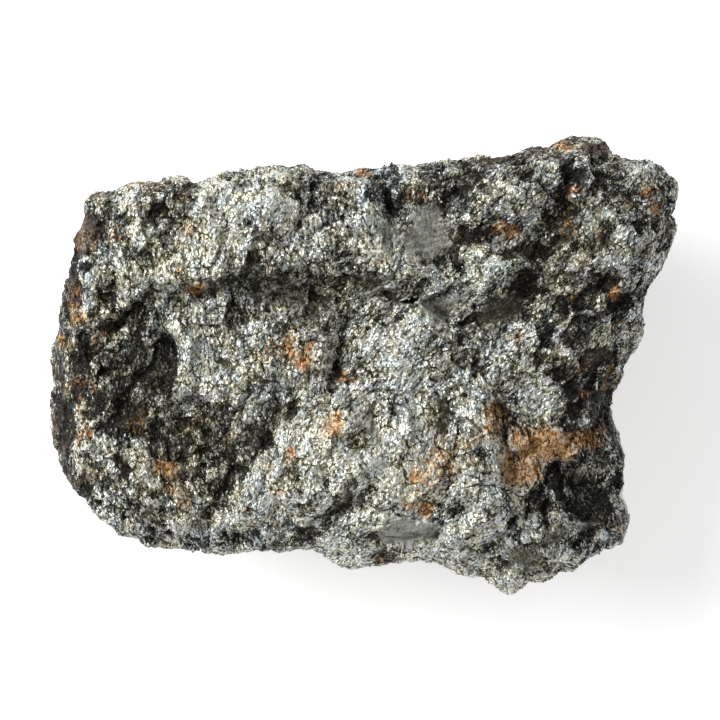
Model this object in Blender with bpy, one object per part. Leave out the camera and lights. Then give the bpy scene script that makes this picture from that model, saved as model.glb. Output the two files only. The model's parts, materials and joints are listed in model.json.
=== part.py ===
"""A hand specimen of arsenopyrite: one broken lump of massive, granular ore.

The lump lies on a small flat spot with its fresh broken face up. +X runs along its
length, +Y across it and +Z up, and the origin is under the middle of the lump.
Points are written in millimetres and scaled from the driving length.
"""

import math

import bmesh
import bpy
import numpy as np
from mathutils import Vector
from mathutils.geometry import delaunay_2d_cdt

LENGTH = 0.105
DRAWN_LENGTH = 105.1
MM = LENGTH / DRAWN_LENGTH

# The mesh: size of its even first cells, number of triangles, and how far the top is spared when it
# is thinned: between which heights that sets in, the most, and how much it counts.
VOXEL = 0.75 * MM
TRIANGLES = 9700
SPARED_HEIGHTS = (14.0, 26.0)
SPARED_MOST = 0.5
TOP_CARE = 0.01

# The sides, from the rim down to the resting spot: share of the rim's plan, and of its height.
SIDE_RINGS = ((0.99, 0.82), (0.95, 0.55), (0.87, 0.27), (0.70, 0.08), (0.48, 0.0))
SIDE_WAVE = 0.035
SIDE_WAVE_SIZE = 14.0

# How far the broken faces stand in and out: size of a face, height on top, height on the sides.
FRACTURE_STEPS = ((16.0, 0.0, 2.2), (7.5, 0.9, 1.2), (3.2, 0.55, 0.5))
SIDE_STEEPNESS = 1.6
SWELL = (16.0, 0.7)
SMOOTH_CALM = 0.9
SMOOTH_ABOVE = 24.0
CALM_ABOVE_SPOT = 5.0
SPOT_TOLERANCE = 0.35

# How firmly the rim keeps its drawn outline: width of the band, the heights between which it sets in,
# how steady it is, and the share by which whatever bulges past the outline is drawn back.
RIM_BAND = 3.5
RIM_HEIGHTS = (17.0, 22.0)
RIM_STEADINESS = 0.85
BULGE_DRAWN_BACK = 0.75

# The rim of the broken face, clockwise from the north-west corner: x, y, height.
RIM = [
    (-46.0, 27.0, 31), (-44.3, 28.4, 31), (-41.0, 28.3, 32), (-38.4, 30.0, 33), (-34.0, 30.0, 33),
    (-32.3, 30.9, 33), (-29.0, 30.8, 33), (-27.5, 30.2, 34), (-25.0, 31.0, 34), (-23.5, 31.9, 34),
    (-20.0, 32.3, 34), (-14.0, 32.7, 34), (-9.8, 33.1, 33), (-7.5, 32.3, 33), (-2.5, 32.0, 33),
    (0.0, 32.6, 33), (4.0, 32.9, 33), (9.0, 33.1, 33), (13.0, 33.8, 33), (17.0, 33.6, 33),
    (21.0, 34.5, 32), (25.0, 35.0, 31), (28.3, 36.6, 30), (31.5, 36.1, 30), (32.6, 37.8, 29),
    (34.3, 38.4, 28), (38.0, 37.7, 28), (41.0, 37.1, 28), (42.0, 35.2, 29), (45.0, 34.0, 32),
    (47.8, 34.3, 32), (50.0, 33.0, 31), (51.7, 31.0, 30), (52.6, 29.0, 29), (52.4, 26.5, 29),
    (51.6, 25.0, 30), (51.9, 22.0, 29), (51.2, 20.5, 29), (50.3, 18.0, 29), (49.0, 15.5, 29),
    (47.5, 13.0, 28), (46.9, 10.5, 28), (47.3, 5.0, 27), (46.0, 2.5, 27), (44.5, 0.5, 26),
    (43.6, -2.0, 25), (41.6, -4.5, 25), (41.2, -7.0, 25), (41.4, -9.5, 25), (42.2, -12.3, 25),
    (43.5, -15.0, 25), (43.8, -18.5, 25), (43.1, -21.0, 24), (43.6, -23.5, 25), (44.5, -25.5, 25),
    (44.1, -29.5, 25), (41.5, -30.3, 27), (39.5, -31.8, 27), (37.0, -32.8, 28), (35.5, -34.6, 27),
    (31.8, -34.9, 28), (30.3, -36.2, 27), (27.5, -36.4, 28), (25.0, -38.6, 26), (23.2, -37.9, 27),
    (20.8, -35.6, 29), (17.0, -34.8, 30), (14.0, -33.5, 30), (10.0, -33.0, 30), (4.0, -33.3, 29),
    (-2.5, -34.0, 28), (-4.8, -33.0, 28), (-7.5, -31.0, 28), (-8.7, -30.3, 27), (-12.0, -30.7, 27),
    (-20.0, -31.3, 27), (-23.3, -31.8, 27), (-27.0, -31.3, 28), (-30.0, -30.6, 29),
    (-35.2, -30.2, 29), (-37.0, -28.8, 30), (-39.8, -28.4, 29), (-40.5, -27.0, 30),
    (-43.5, -25.6, 29), (-45.5, -23.4, 29), (-47.5, -22.0, 28), (-48.8, -19.5, 27),
    (-50.5, -17.5, 26), (-51.2, -13.5, 25), (-52.0, -11.5, 24), (-51.9, -7.0, 24),
    (-51.7, -4.0, 24), (-52.5, -0.5, 24), (-51.8, 2.5, 25), (-50.8, 4.5, 26), (-50.0, 7.5, 27),
    (-49.8, 11.0, 27), (-49.3, 15.0, 28), (-48.0, 19.0, 28), (-48.4, 21.2, 27), (-47.5, 22.3, 28),
    (-46.0, 24.0, 30),
]

# Crests, feet and creases of the broken face, each a line of x, y, height.
BREAK_LINES = {
    "shelf_edge": [
        (-40.5, 14.5, 35.5), (-37.0, 12.5, 36.0), (-35.0, 14.2, 38.0), (-30.0, 14.0, 38.6),
        (-26.5, 14.3, 39.2), (-24.0, 15.0, 39.5), (-21.0, 15.4, 39.5), (-18.8, 18.0, 39.2),
        (-15.5, 15.6, 38.0), (-12.0, 16.6, 38.0), (-8.0, 18.2, 38.4), (-4.5, 16.2, 38.2),
        (-3.2, 15.0, 38.0), (0.5, 15.8, 37.8), (3.5, 15.2, 37.5), (5.5, 16.8, 37.8),
    ],
    "shelf_foot": [
        (-37.5, 10.8, 34.6), (-34.5, 12.8, 34.8), (-30.0, 12.6, 34.2), (-26.0, 11.9, 33.8),
        (-22.0, 12.8, 33.4), (-20.0, 14.0, 33.2), (-17.0, 13.0, 32.8), (-13.0, 12.2, 32.2),
        (-8.0, 11.2, 31.8), (-3.0, 11.0, 31.5), (2.0, 10.6, 31.8), (6.0, 10.2, 32.2),
        (10.2, 10.4, 32.8),
    ],
    "arc_crest": [
        (-24.0, 10.6, 35.2), (-27.5, 8.8, 36.4), (-30.5, 6.2, 36.0), (-29.0, 3.0, 37.0),
        (-28.6, -0.5, 37.4), (-29.8, -3.0, 36.6), (-31.8, -4.8, 35.2),
    ],
    "arc_foot": [(-33.2, 6.6, 33.0), (-31.2, 3.0, 30.5), (-31.0, 0.0, 29.6), (-32.0, -3.0, 30.6)],
    "arc_lap": [(-25.8, 7.5, 35.2), (-26.0, 5.0, 35.0), (-24.5, 1.2, 35.4), (-21.0, -0.5, 36.0)],
    "middle_brow": [(-18.5, 6.0, 36.8), (-14.0, 5.0, 37.8), (-10.0, 4.5, 38.0), (-6.2, 4.2, 37.4)],
    "middle_back": [(-17.0, 1.0, 37.6), (-11.0, 0.5, 38.2), (-6.5, 0.2, 37.6)],
    "middle_north_brink": [(-19.0, 8.5, 34.8), (-14.5, 8.6, 36.4), (-12.5, 7.6, 36.2), (-7.5, 7.0, 35.8)],
    "middle_east_foot": [(-2.2, 8.0, 32.8), (-3.4, 4.5, 33.0), (-4.0, 1.0, 33.6), (-5.0, -1.2, 35.0)],
    "middle_south_edge": [(-27.0, -5.5, 36.0), (-21.0, -4.6, 36.4), (-16.0, -4.6, 36.6), (-12.8, -3.0, 36.8)],
    "plateau_edge": [
        (-0.2, 6.2, 35.4), (2.0, 8.2, 35.8), (6.0, 9.2, 36.2), (10.0, 9.4, 36.0),
        (12.5, 7.0, 36.6), (15.5, 5.6, 36.8), (17.5, 5.8, 36.2),
    ],
    "ridge_crest": [
        (15.8, 20.8, 38.6), (19.0, 19.5, 40.0), (22.0, 18.4, 40.8), (25.0, 17.2, 41.4),
        (27.2, 16.8, 41.0), (30.0, 16.6, 39.6), (33.5, 16.0, 38.4),
    ],
    "ridge_brow": [
        (10.8, 12.2, 35.2), (13.0, 13.0, 36.2), (16.0, 12.9, 37.2), (19.6, 12.6, 38.2),
        (22.5, 14.2, 39.3), (24.5, 16.0, 40.6),
    ],
    "ridge_foot": [
        (12.0, 9.6, 33.2), (14.2, 8.2, 33.4), (16.8, 6.8, 33.6), (20.0, 7.2, 34.0), (24.0, 7.6, 34.4),
        (26.0, 9.2, 34.6), (28.0, 10.8, 35.0), (31.0, 11.2, 35.6),
    ],
    "ridge_pocket": [(23.0, 20.2, 38.0), (26.5, 19.2, 36.6), (29.0, 18.6, 35.8), (31.0, 18.8, 36.4)],
    "slate_face_edge": [
        (5.2, 18.2, 37.6), (8.5, 17.7, 38.0), (13.5, 19.4, 38.6), (15.2, 21.4, 38.4),
        (13.0, 24.2, 37.8), (8.0, 26.4, 37.0), (5.6, 24.0, 36.8), (5.2, 18.2, 37.6),
    ],
    "east_furrow": [(35.0, 33.5, 35.6), (33.5, 29.0, 35.4), (32.5, 24.5, 35.8), (33.0, 21.0, 36.4)],
    "east_block_west": [(37.0, 29.5, 38.0), (36.2, 24.5, 38.4), (35.2, 20.5, 38.2), (34.6, 16.8, 37.8)],
    "east_block_crest": [
        (40.5, 25.2, 38.8), (43.5, 23.6, 39.2), (44.6, 20.5, 38.8), (43.8, 17.0, 37.8),
        (42.0, 14.9, 37.0),
    ],
    "north_brow": [
        (-42.0, 26.0, 34.5), (-37.0, 27.5, 37.0), (-31.0, 28.0, 37.4), (-25.0, 28.5, 38.8),
        (-19.0, 30.0, 38.6), (-12.0, 30.0, 37.8), (-5.0, 29.8, 37.0), (3.0, 30.0, 36.8),
        (10.0, 30.6, 36.8), (17.0, 31.0, 37.6), (24.0, 32.5, 37.2), (29.5, 33.0, 37.0),
    ],
    "west_brow": [
        (-45.4, 21.5, 33.8), (-45.0, 17.0, 34.6), (-45.5, 12.5, 34.2), (-46.0, 9.0, 33.6),
        (-46.5, 6.0, 32.6), (-48.2, 3.0, 30.8), (-48.5, -1.0, 30.4), (-48.2, -6.0, 30.6),
        (-47.0, -10.5, 32.0), (-47.5, -14.0, 31.6), (-47.5, -17.5, 31.0),
    ],
    "hollow_ridge": [(-44.5, 7.2, 33.8), (-41.5, 9.2, 34.8), (-38.5, 10.6, 35.0)],
    "hollow_crack": [(-43.8, 4.6, 31.4), (-41.0, 6.8, 31.6), (-38.0, 9.2, 32.6)],
    "hollow_floor": [(-46.4, 2.0, 30.0), (-42.0, 1.6, 32.2), (-38.5, 1.0, 32.0), (-34.0, -1.0, 31.0)],
    "southwest_bank": [
        (-45.5, -12.0, 33.6), (-41.5, -11.5, 34.2), (-38.5, -13.5, 34.2), (-36.0, -16.5, 34.6),
        (-33.8, -19.4, 34.4), (-30.0, -21.5, 33.8), (-28.0, -24.0, 33.2),
    ],
    "trough": [
        (-28.0, -9.0, 33.2), (-24.0, -12.0, 32.6), (-21.0, -14.5, 32.2), (-22.5, -19.0, 31.6),
        (-24.5, -23.0, 31.2),
    ],
    "south_bank_foot": [
        (-12.8, -7.6, 33.4), (-15.2, -12.0, 33.0), (-18.5, -17.0, 32.4), (-21.0, -21.0, 31.8),
    ],
    "south_bank_crest": [
        (-10.2, -5.5, 37.0), (-10.8, -9.5, 37.8), (-13.2, -13.5, 37.0), (-15.8, -17.5, 36.0),
        (-18.8, -22.0, 34.6), (-20.5, -26.0, 33.0),
    ],
    "south_furrow": [
        (2.5, -21.2, 37.2), (0.0, -22.8, 35.8), (-4.0, -24.0, 34.8), (-8.0, -26.2, 33.2),
        (-12.0, -28.4, 30.6),
    ],
    "south_lobe": [(2.0, -25.0, 37.0), (-2.0, -26.2, 36.4), (-5.5, -28.4, 34.6)],
    "lens_edge": [
        (2.2, -27.2, 36.0), (5.0, -25.9, 36.6), (9.5, -25.7, 36.9), (12.4, -26.8, 36.8),
        (8.5, -28.5, 36.0), (4.0, -28.4, 35.6), (2.2, -27.2, 36.0),
    ],
    "column_crest": [
        (16.2, -4.2, 38.6), (18.2, -8.0, 39.8), (19.2, -12.5, 40.4), (20.2, -17.5, 40.2),
        (21.8, -22.6, 39.6), (18.5, -26.5, 38.2), (16.5, -29.0, 37.0),
    ],
    "column_brink": [
        (20.6, -5.8, 39.0), (21.0, -10.5, 39.4), (21.8, -14.5, 39.2), (22.6, -18.5, 39.0),
        (23.6, -22.8, 38.4), (23.2, -26.5, 37.0),
    ],
    "column_foot": [
        (22.2, -6.8, 36.8), (22.8, -11.0, 36.0), (23.4, -15.0, 35.6), (24.2, -19.0, 35.2),
        (25.4, -23.0, 34.6), (25.2, -27.0, 35.0),
    ],
    "rust_bench": [
        (27.0, -12.5, 36.8), (31.0, -11.2, 36.8), (35.2, -11.6, 35.4), (34.4, -15.0, 34.8),
        (29.0, -17.0, 35.2),
    ],
    "dark_hollow_brink": [(29.2, -18.4, 34.6), (30.8, -20.5, 33.2), (33.0, -23.2, 31.8), (36.0, -25.0, 30.6)],
    "dark_hollow_floor": [(33.5, -19.0, 29.8), (36.5, -20.5, 27.6), (39.5, -20.8, 26.8), (40.5, -23.5, 26.4)],
    "slate_ledge": [
        (27.2, -29.2, 35.4), (30.0, -28.2, 35.4), (33.0, -27.4, 34.8), (37.0, -26.4, 33.2),
        (41.0, -25.2, 30.4),
    ],
}

# Lone high and low places on the broken face.
SPOT_HEIGHTS = [
    (-42.0, 22.0, 35.6), (-39.0, 19.0, 36.8), (-36.0, 22.0, 37.8), (-34.5, 24.6, 35.4), (-31.0, 20.0, 38.2),
    (-27.0, 23.0, 39.2), (-22.5, 20.0, 40.2), (-19.5, 26.5, 40.6), (-16.5, 20.0, 38.6), (-12.8, 25.5, 40.2),
    (-11.0, 20.0, 38.8), (-7.5, 20.5, 39.2), (-9.0, 25.5, 38.0), (-4.0, 24.0, 38.2), (1.0, 24.5, 38.4),
    (2.5, 20.0, 38.6), (4.6, 25.8, 35.8), (12.5, 27.5, 37.8), (17.2, 24.5, 40.0), (18.6, 21.6, 38.4),
    (22.0, 26.0, 40.0), (25.5, 24.0, 39.2), (28.5, 25.5, 40.0), (24.0, 29.0, 39.0), (31.5, 30.5, 38.2),
    (40.0, 19.0, 38.2), (46.8, 27.0, 36.8), (50.0, 27.5, 34.0), (46.0, 31.5, 35.5), (41.0, 30.0, 37.2),
    (38.5, 33.0, 35.8), (48.0, 20.0, 35.2), (47.0, 16.0, 33.4), (-43.0, 11.2, 33.2), (-36.0, 8.0, 32.6),
    (-36.0, 4.5, 31.8), (-40.0, -6.0, 32.4), (-36.0, -9.0, 32.2), (-44.0, -5.0, 32.2), (-34.5, -5.5, 31.6),
    (-33.0, -14.0, 32.4), (-30.0, -16.5, 31.8), (-42.0, -18.0, 33.4), (-38.0, -22.0, 33.4),
    (-43.0, -22.5, 31.2), (-36.0, -26.5, 32.4), (-31.0, -27.5, 31.6), (-25.0, -28.5, 30.0),
    (-15.0, -26.5, 32.4),
    (-19.0, -8.5, 34.6), (-25.0, -8.0, 34.4), (-7.0, -2.0, 36.6), (-7.0, -8.0, 38.8), (-4.5, -10.0, 39.6),
    (-6.0, -14.5, 39.2), (-0.6, -8.5, 38.4), (2.0, -11.6, 37.8), (6.2, -12.0, 40.2), (9.0, -8.5, 39.2),
    (-10.0, -18.5, 37.6), (-6.2, -19.4, 36.0), (-4.0, -17.4, 38.8), (-8.6, -21.0, 37.4), (-3.5, -21.6, 38.0),
    (2.0, -16.5, 39.0), (6.0, -18.5, 39.4), (10.0, -18.0, 39.8), (8.0, -22.5, 38.8), (12.5, -14.0, 39.6),
    (13.0, -20.5, 39.0), (15.4, -24.4, 36.2), (14.6, -9.5, 38.6), (-1.0, -1.0, 36.6), (2.0, 4.0, 37.6),
    (6.5, 3.0, 38.2), (10.5, 1.0, 38.4), (12.0, -4.0, 38.0), (3.0, -4.0, 37.4), (3.4, -31.0, 32.4),
    (-2.0, -31.0, 33.2), (9.0, -31.0, 34.2), (15.0, -31.0, 35.0), (20.5, -32.5, 32.8), (24.5, -33.8, 32.0),
    (25.5, -30.6, 34.2), (30.5, -31.4, 33.2), (36.0, -30.2, 32.2), (41.0, -28.0, 30.6), (28.5, -24.5, 34.6),
    (25.0, -7.5, 37.4), (29.0, -8.5, 37.6), (31.5, -5.0, 37.0), (26.5, -3.0, 38.0), (23.0, -1.5, 37.6),
    (34.0, -1.0, 36.2), (33.5, -7.0, 35.2), (36.5, -4.0, 33.8), (37.0, -9.0, 33.2), (39.4, -6.0, 30.4),
    (40.4, -1.5, 31.4), (40.6, -12.0, 29.6), (38.0, -15.8, 31.2), (35.5, 5.0, 36.8), (39.0, 3.0, 35.0),
    (43.5, 4.5, 32.4), (38.5, 8.0, 35.6), (41.6, 9.4, 32.4), (44.5, 7.5, 32.2), (40.5, 12.2, 35.0),
    (37.0, 13.5, 36.8), (45.5, 12.0, 31.6), (20.0, 2.5, 37.4), (25.0, 3.5, 37.2), (30.0, 4.5, 37.2),
    (30.0, -0.5, 37.6), (17.5, -0.5, 37.2), (28.6, 13.6, 37.2), (4.0, 12.8, 33.4), (-16.5, 10.6, 33.4),
]

# Smooth slaty faces, which the fracture steps leave alone: x, y, half length, half width, turn in degrees.
SMOOTH_FACES = [
    (9.8, 21.4, 5.6, 4.0, 20), (15.5, 10.4, 4.8, 2.3, 10), (22.6, 9.8, 4.6, 2.6, 25),
    (7.2, -27.1, 5.0, 1.4, 4), (27.0, -31.8, 4.4, 1.7, -18),
]

# Chips knocked off the sides and the underside: a point on each face, and the way it looks.
CHIPS = [
    ((-38.0, -20.0, 10.0), (-0.60, -0.52, -0.61)),
    ((-40.0, 22.0, 12.0), (-0.62, 0.47, -0.63)),
    ((-47.0, 2.0, 12.0), (-0.90, 0.05, -0.43)),
    ((-22.0, 29.0, 13.0), (-0.10, 0.92, -0.38)),
    ((12.0, 28.5, 9.0), (0.08, 0.80, -0.60)),
    ((40.0, 27.0, 12.0), (0.52, 0.55, -0.65)),
    ((43.0, 4.0, 11.0), (0.88, -0.10, -0.46)),
    ((33.0, -24.0, 9.0), (0.52, -0.50, -0.69)),
    ((10.0, -29.0, 11.0), (-0.08, -0.84, -0.54)),
    ((-18.0, -26.5, 9.0), (-0.12, -0.84, -0.53)),
]

ORE_GREY = (0.30, 0.30, 0.28, 1.0)
ORE_ROUGHNESS = 0.45
ORE_METALLIC = 0.6


def hashed(cells, seed):
    """A number from 0 to 1 for each row of whole numbers, always the same for the same seed."""
    cell = cells.astype(np.int64).astype(np.uint32)
    mixed = cell[:, 0] * np.uint32(0x8DA6B343)
    mixed ^= cell[:, 1] * np.uint32(0xD8163841)
    mixed ^= cell[:, 2] * np.uint32(0xCB1AB31F)
    mixed ^= np.uint32(seed * 0x9E3779B1 & 0xFFFFFFFF)
    for shift, factor in ((15, 0x2C1B3C6D), (12, 0x297A2D39), (15, 0x7FEB352D)):
        mixed ^= mixed >> np.uint32(shift)
        mixed *= np.uint32(factor)
    return mixed / 2.0**32


def broken_faces(points, size, seed):
    """Heights of flat faces at random tilts, one for each cell of a Voronoi pattern, about -1 to 1."""
    scaled = points / size
    corner = np.floor(scaled)
    nearest = np.full(len(points), np.inf)
    height = np.zeros(len(points))
    for step in np.ndindex(3, 3, 3):
        cell = corner + np.array(step) - 1
        centre = cell + np.stack([hashed(cell, seed + axis) for axis in range(3)], axis=1)
        away = scaled - centre
        distance = (away**2).sum(axis=1)
        tilt = np.stack([hashed(cell, seed + 3 + axis) for axis in range(3)], axis=1) * 2 - 1
        face = (away * tilt).sum(axis=1) + hashed(cell, seed + 6) - 0.5
        height = np.where(distance < nearest, face, height)
        nearest = np.minimum(distance, nearest)
    return height


def soft_swell(points, size, seed):
    """Smooth noise from -1 to 1 that changes over about that size."""
    scaled = points / size
    corner = np.floor(scaled)
    part = scaled - corner
    ease = part * part * (3 - 2 * part)
    total = np.zeros(len(points))
    for step in np.ndindex(2, 2, 2):
        share = np.where(np.array(step) == 1, ease, 1 - ease).prod(axis=1)
        total += share * (hashed(corner + np.array(step), seed) * 2 - 1)
    return total


def way_to_rim(points):
    """The way to the nearest point of the rim as seen from above, and whether each point is outside it."""
    rim = np.array([point[:2] for point in RIM])
    plan = points[:, :2]
    least = np.full(len(points), np.inf)
    way = np.zeros_like(plan)
    outside = np.ones(len(points), bool)
    for start, end in zip(rim, np.roll(rim, -1, axis=0)):
        side = end - start
        along = np.clip((plan - start) @ side / (side @ side), 0, 1)
        back = start + along[:, None] * side - plan
        distance = np.hypot(back[:, 0], back[:, 1])
        way[distance < least] = back[distance < least]
        least = np.minimum(distance, least)
        level = (start[1] > plan[:, 1]) != (end[1] > plan[:, 1])
        crossing = start[0] + (plan[:, 1] - start[1]) * side[0] / (side[1] or 1.0)
        outside ^= level & (plan[:, 0] < crossing)
    return way, outside


def rim_share(points):
    """1 on the rim of the broken face as seen from above, falling to 0 a band away from it."""
    way, _ = way_to_rim(points)
    low, high = RIM_HEIGHTS
    near = np.clip(1 - np.hypot(way[:, 0], way[:, 1]) / RIM_BAND, 0, 1)
    return near * np.clip((points[:, 2] - low) / (high - low), 0, 1)


def smooth_share(points):
    """1 on the smooth slaty faces of the broken top, falling to 0 around them."""
    share = np.zeros(len(points))
    for x, y, half_length, half_width, turn in SMOOTH_FACES:
        angle = math.radians(turn)
        dx, dy = points[:, 0] - x, points[:, 1] - y
        along = (dx * math.cos(angle) + dy * math.sin(angle)) / half_length
        across = (dy * math.cos(angle) - dx * math.sin(angle)) / half_width
        share = np.maximum(share, np.clip((1.25 - np.hypot(along, across)) / 0.35, 0, 1))
    return share * (points[:, 2] > SMOOTH_ABOVE)


def face_triangles():
    """The broken face as triangles between the rim, the break lines and the spot heights."""
    drawn = list(RIM)
    edges = [(i, (i + 1) % len(RIM)) for i in range(len(RIM))]
    for line in BREAK_LINES.values():
        first = len(drawn)
        drawn += line
        edges += [(first + i, first + i + 1) for i in range(len(line) - 1)]
    drawn += SPOT_HEIGHTS
    flat = [Vector(point[:2]) for point in drawn]
    placed, _, triangles, origins, _, _ = delaunay_2d_cdt(flat, edges, [], 1, 1e-4)
    if not all(origins):
        crossing = [tuple(placed[i]) for i, origin in enumerate(origins) if not origin]
        raise ValueError(f"break lines cross at {crossing}")
    points = [(place.x, place.y, drawn[origin[0]][2]) for place, origin in zip(placed, origins)]
    index_of = {old: new for new, origin in enumerate(origins) for old in origin}
    return points, triangles, [index_of[i] for i in range(len(RIM))]


def rough_lump():
    """The lump's plain form: the broken face, the sides in rings below its rim, and the resting spot."""
    points, triangles, rim = face_triangles()
    mesh = bmesh.new()
    verts = [mesh.verts.new(point) for point in points]
    for triangle in triangles:
        mesh.faces.new([verts[i] for i in triangle])
    above = [verts[i] for i in rim]
    for level, (plan, height) in enumerate(SIDE_RINGS):
        plain = np.array([(x, y, 0.0) for x, y, _ in RIM])
        wave = 1 + SIDE_WAVE * (1 - height) * soft_swell(plain, SIDE_WAVE_SIZE, 40 + level)
        ring = [
            mesh.verts.new((x * plan * w, y * plan * w, top * height))
            for (x, y, top), w in zip(RIM, wave)
        ]
        for i in range(len(ring)):
            j = (i + 1) % len(ring)
            mesh.faces.new((above[i], above[j], ring[j], ring[i]))
        above = ring
    mesh.faces.new(above)
    bmesh.ops.scale(mesh, vec=(MM, MM, MM), verts=mesh.verts)
    bmesh.ops.recalc_face_normals(mesh, faces=mesh.faces)
    data = bpy.data.meshes.new("rough_lump")
    mesh.to_mesh(data)
    mesh.free()
    return data


def evaluated_with(data, kind, weights=None, **settings):
    """A new mesh: the given one with one modifier applied, and its weights if there are any."""
    holder = bpy.data.objects.new("holder", data)
    bpy.context.scene.collection.objects.link(holder)
    modifier = holder.modifiers.new("shape", kind)
    if weights is not None:
        group = holder.vertex_groups.new(name="weights")
        for weight in np.unique(weights):
            group.add(np.flatnonzero(weights == weight).tolist(), float(weight), "REPLACE")
        modifier.vertex_group = group.name
    for name, value in settings.items():
        setattr(modifier, name, value)
    graph = bpy.context.evaluated_depsgraph_get()
    result = bpy.data.meshes.new_from_object(holder.evaluated_get(graph))
    bpy.data.objects.remove(holder)
    return result


def read_points(data):
    points = np.empty(len(data.vertices) * 3, np.float32)
    data.vertices.foreach_get("co", points)
    return points.reshape(-1, 3).astype(float)


def write_points(data, points):
    data.vertices.foreach_set("co", points.astype(np.float32).ravel())
    data.update()


def knock_off_chips(points):
    """Brings whatever stands past a chip's face back onto it."""
    for place, way in CHIPS:
        normal = np.array(way) / np.linalg.norm(way)
        past = np.clip((points - np.array(place)) @ normal, 0, None)
        points = points - past[:, None] * normal
    return points


def break_surface(data):
    """Gives the surface its swells and the tilted faces of a fresh break, calm near the resting spot."""
    points = knock_off_chips(read_points(data) / MM)
    write_points(data, points * MM)
    normals = np.empty(len(data.vertices) * 3, np.float32)
    data.vertex_normals.foreach_get("vector", normals)
    normals = normals.reshape(-1, 3).astype(float)
    side = np.clip(1 - SIDE_STEEPNESS * normals[:, 2], 0, 1)
    moved = SWELL[1] * soft_swell(points, SWELL[0], 5)
    for seed, (size, on_top, on_sides) in enumerate(FRACTURE_STEPS):
        height = on_top + (on_sides - on_top) * side
        moved += height * broken_faces(points, size, 11 + 10 * seed)
    moved *= np.clip(points[:, 2] / CALM_ABOVE_SPOT, 0, 1) * (1 - SMOOTH_CALM * smooth_share(points))
    shift = moved[:, None] * normals
    shift[:, :2] *= 1 - RIM_STEADINESS * rim_share(points)[:, None]
    points = points + shift
    way, outside = way_to_rim(points)
    points[outside, :2] += BULGE_DRAWN_BACK * way[outside]
    write_points(data, points * MM)


def settle(data):
    """Flattens the resting spot, gives the lump its driving length and centres it over the origin."""
    points = read_points(data)
    points[points[:, 2] < SPOT_TOLERANCE * MM, 2] = 0
    low, high = points.min(axis=0), points.max(axis=0)
    points -= np.array([(low[0] + high[0]) / 2, (low[1] + high[1]) / 2, 0])
    write_points(data, points * LENGTH / (high[0] - low[0]))


def ore_material():
    material = bpy.data.materials.new("ore")
    material.use_nodes = True
    surface = material.node_tree.nodes["Principled BSDF"]
    surface.inputs["Base Color"].default_value = ORE_GREY
    surface.inputs["Roughness"].default_value = ORE_ROUGHNESS
    surface.inputs["Metallic"].default_value = ORE_METALLIC
    return material


def make_lump():
    even = evaluated_with(rough_lump(), "REMESH", mode="VOXEL", voxel_size=VOXEL)
    break_surface(even)
    even.calc_loop_triangles()
    share = TRIANGLES / len(even.loop_triangles)
    low, high = SPARED_HEIGHTS
    above = np.clip((read_points(even)[:, 2] / MM - low) / (high - low), 0, 1)
    spared = np.round(above * 8) / 8 * SPARED_MOST
    lump = evaluated_with(
        even, "DECIMATE", 1 - spared, ratio=share, vertex_group_factor=TOP_CARE,
        use_collapse_triangulate=True,
    )
    settle(lump)
    lump.materials.clear()
    lump.materials.append(ore_material())
    lump.shade_flat()
    thing = bpy.data.objects.new("arsenopyrite_lump", lump)
    bpy.context.scene.collection.objects.link(thing)


def main():
    for old in list(bpy.data.objects):
        bpy.data.objects.remove(old)
    make_lump()


main()
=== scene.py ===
"""The looks of a broken lump of massive arsenopyrite ore, laid out as a Blender add-on.

The operators make the lump's broken surface with its fine relief, the four layers of small grains
that stand on it, and the stage with its floor, light and camera. Places on the broken face are in
millimetres along the frame's X and Y, from the middle of the lump.
"""

import json
import math

import bmesh
import bpy
import numpy as np
from bpy.props import FloatProperty, FloatVectorProperty, IntProperty, PointerProperty
from mathutils import Matrix, Vector

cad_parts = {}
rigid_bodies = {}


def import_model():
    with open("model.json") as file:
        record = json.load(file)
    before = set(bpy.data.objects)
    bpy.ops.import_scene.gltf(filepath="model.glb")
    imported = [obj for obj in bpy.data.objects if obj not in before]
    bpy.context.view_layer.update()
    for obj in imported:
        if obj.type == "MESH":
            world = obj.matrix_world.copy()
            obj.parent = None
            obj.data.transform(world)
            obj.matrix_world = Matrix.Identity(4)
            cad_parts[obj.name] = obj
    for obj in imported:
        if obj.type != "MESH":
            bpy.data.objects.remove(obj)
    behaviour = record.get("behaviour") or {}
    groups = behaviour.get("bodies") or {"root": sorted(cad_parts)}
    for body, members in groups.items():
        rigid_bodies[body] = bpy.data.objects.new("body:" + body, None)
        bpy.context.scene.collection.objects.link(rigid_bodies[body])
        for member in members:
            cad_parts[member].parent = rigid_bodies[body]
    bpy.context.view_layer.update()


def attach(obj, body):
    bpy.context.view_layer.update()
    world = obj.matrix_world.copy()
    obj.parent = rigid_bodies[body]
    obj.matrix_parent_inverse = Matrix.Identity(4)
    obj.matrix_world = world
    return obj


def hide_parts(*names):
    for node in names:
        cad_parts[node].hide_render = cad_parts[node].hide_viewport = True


bl_info = {
    "name": "Arsenopyrite lump",
    "version": (1, 0, 0),
    "blender": (4, 5, 0),
    "location": "3D View > Sidebar > Ore",
    "description": "Dresses a lump of massive arsenopyrite ore with its broken surface and grains",
    "category": "Object",
}

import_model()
NODE = "arsenopyrite_lump"
BODY = "root"
MM = 0.001

# Cuts along each edge of the solid's triangles, on the broken top and on the sides, the height in
# millimetres where the top starts, and how high the relief stays off the floor.
TOP_CUTS = 4
SIDE_CUTS = 2
TOP_STARTS = 23.0
FLOOR_CLEARANCE = 1.2

# Fine relief along the normals, as (size of a broken facet, height, depth of the crack round it), in
# millimetres. The facets are longer than wide, and a crack takes up a share of a facet's width.
FINE_BREAKS = ((4.6, 0.56, 0.04), (2.3, 0.32, 0.05), (1.2, 0.19, 0.05), (0.7, 0.11, 0.03))
STRETCH = 1.6
CRACK_WIDTH = 0.22

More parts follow.
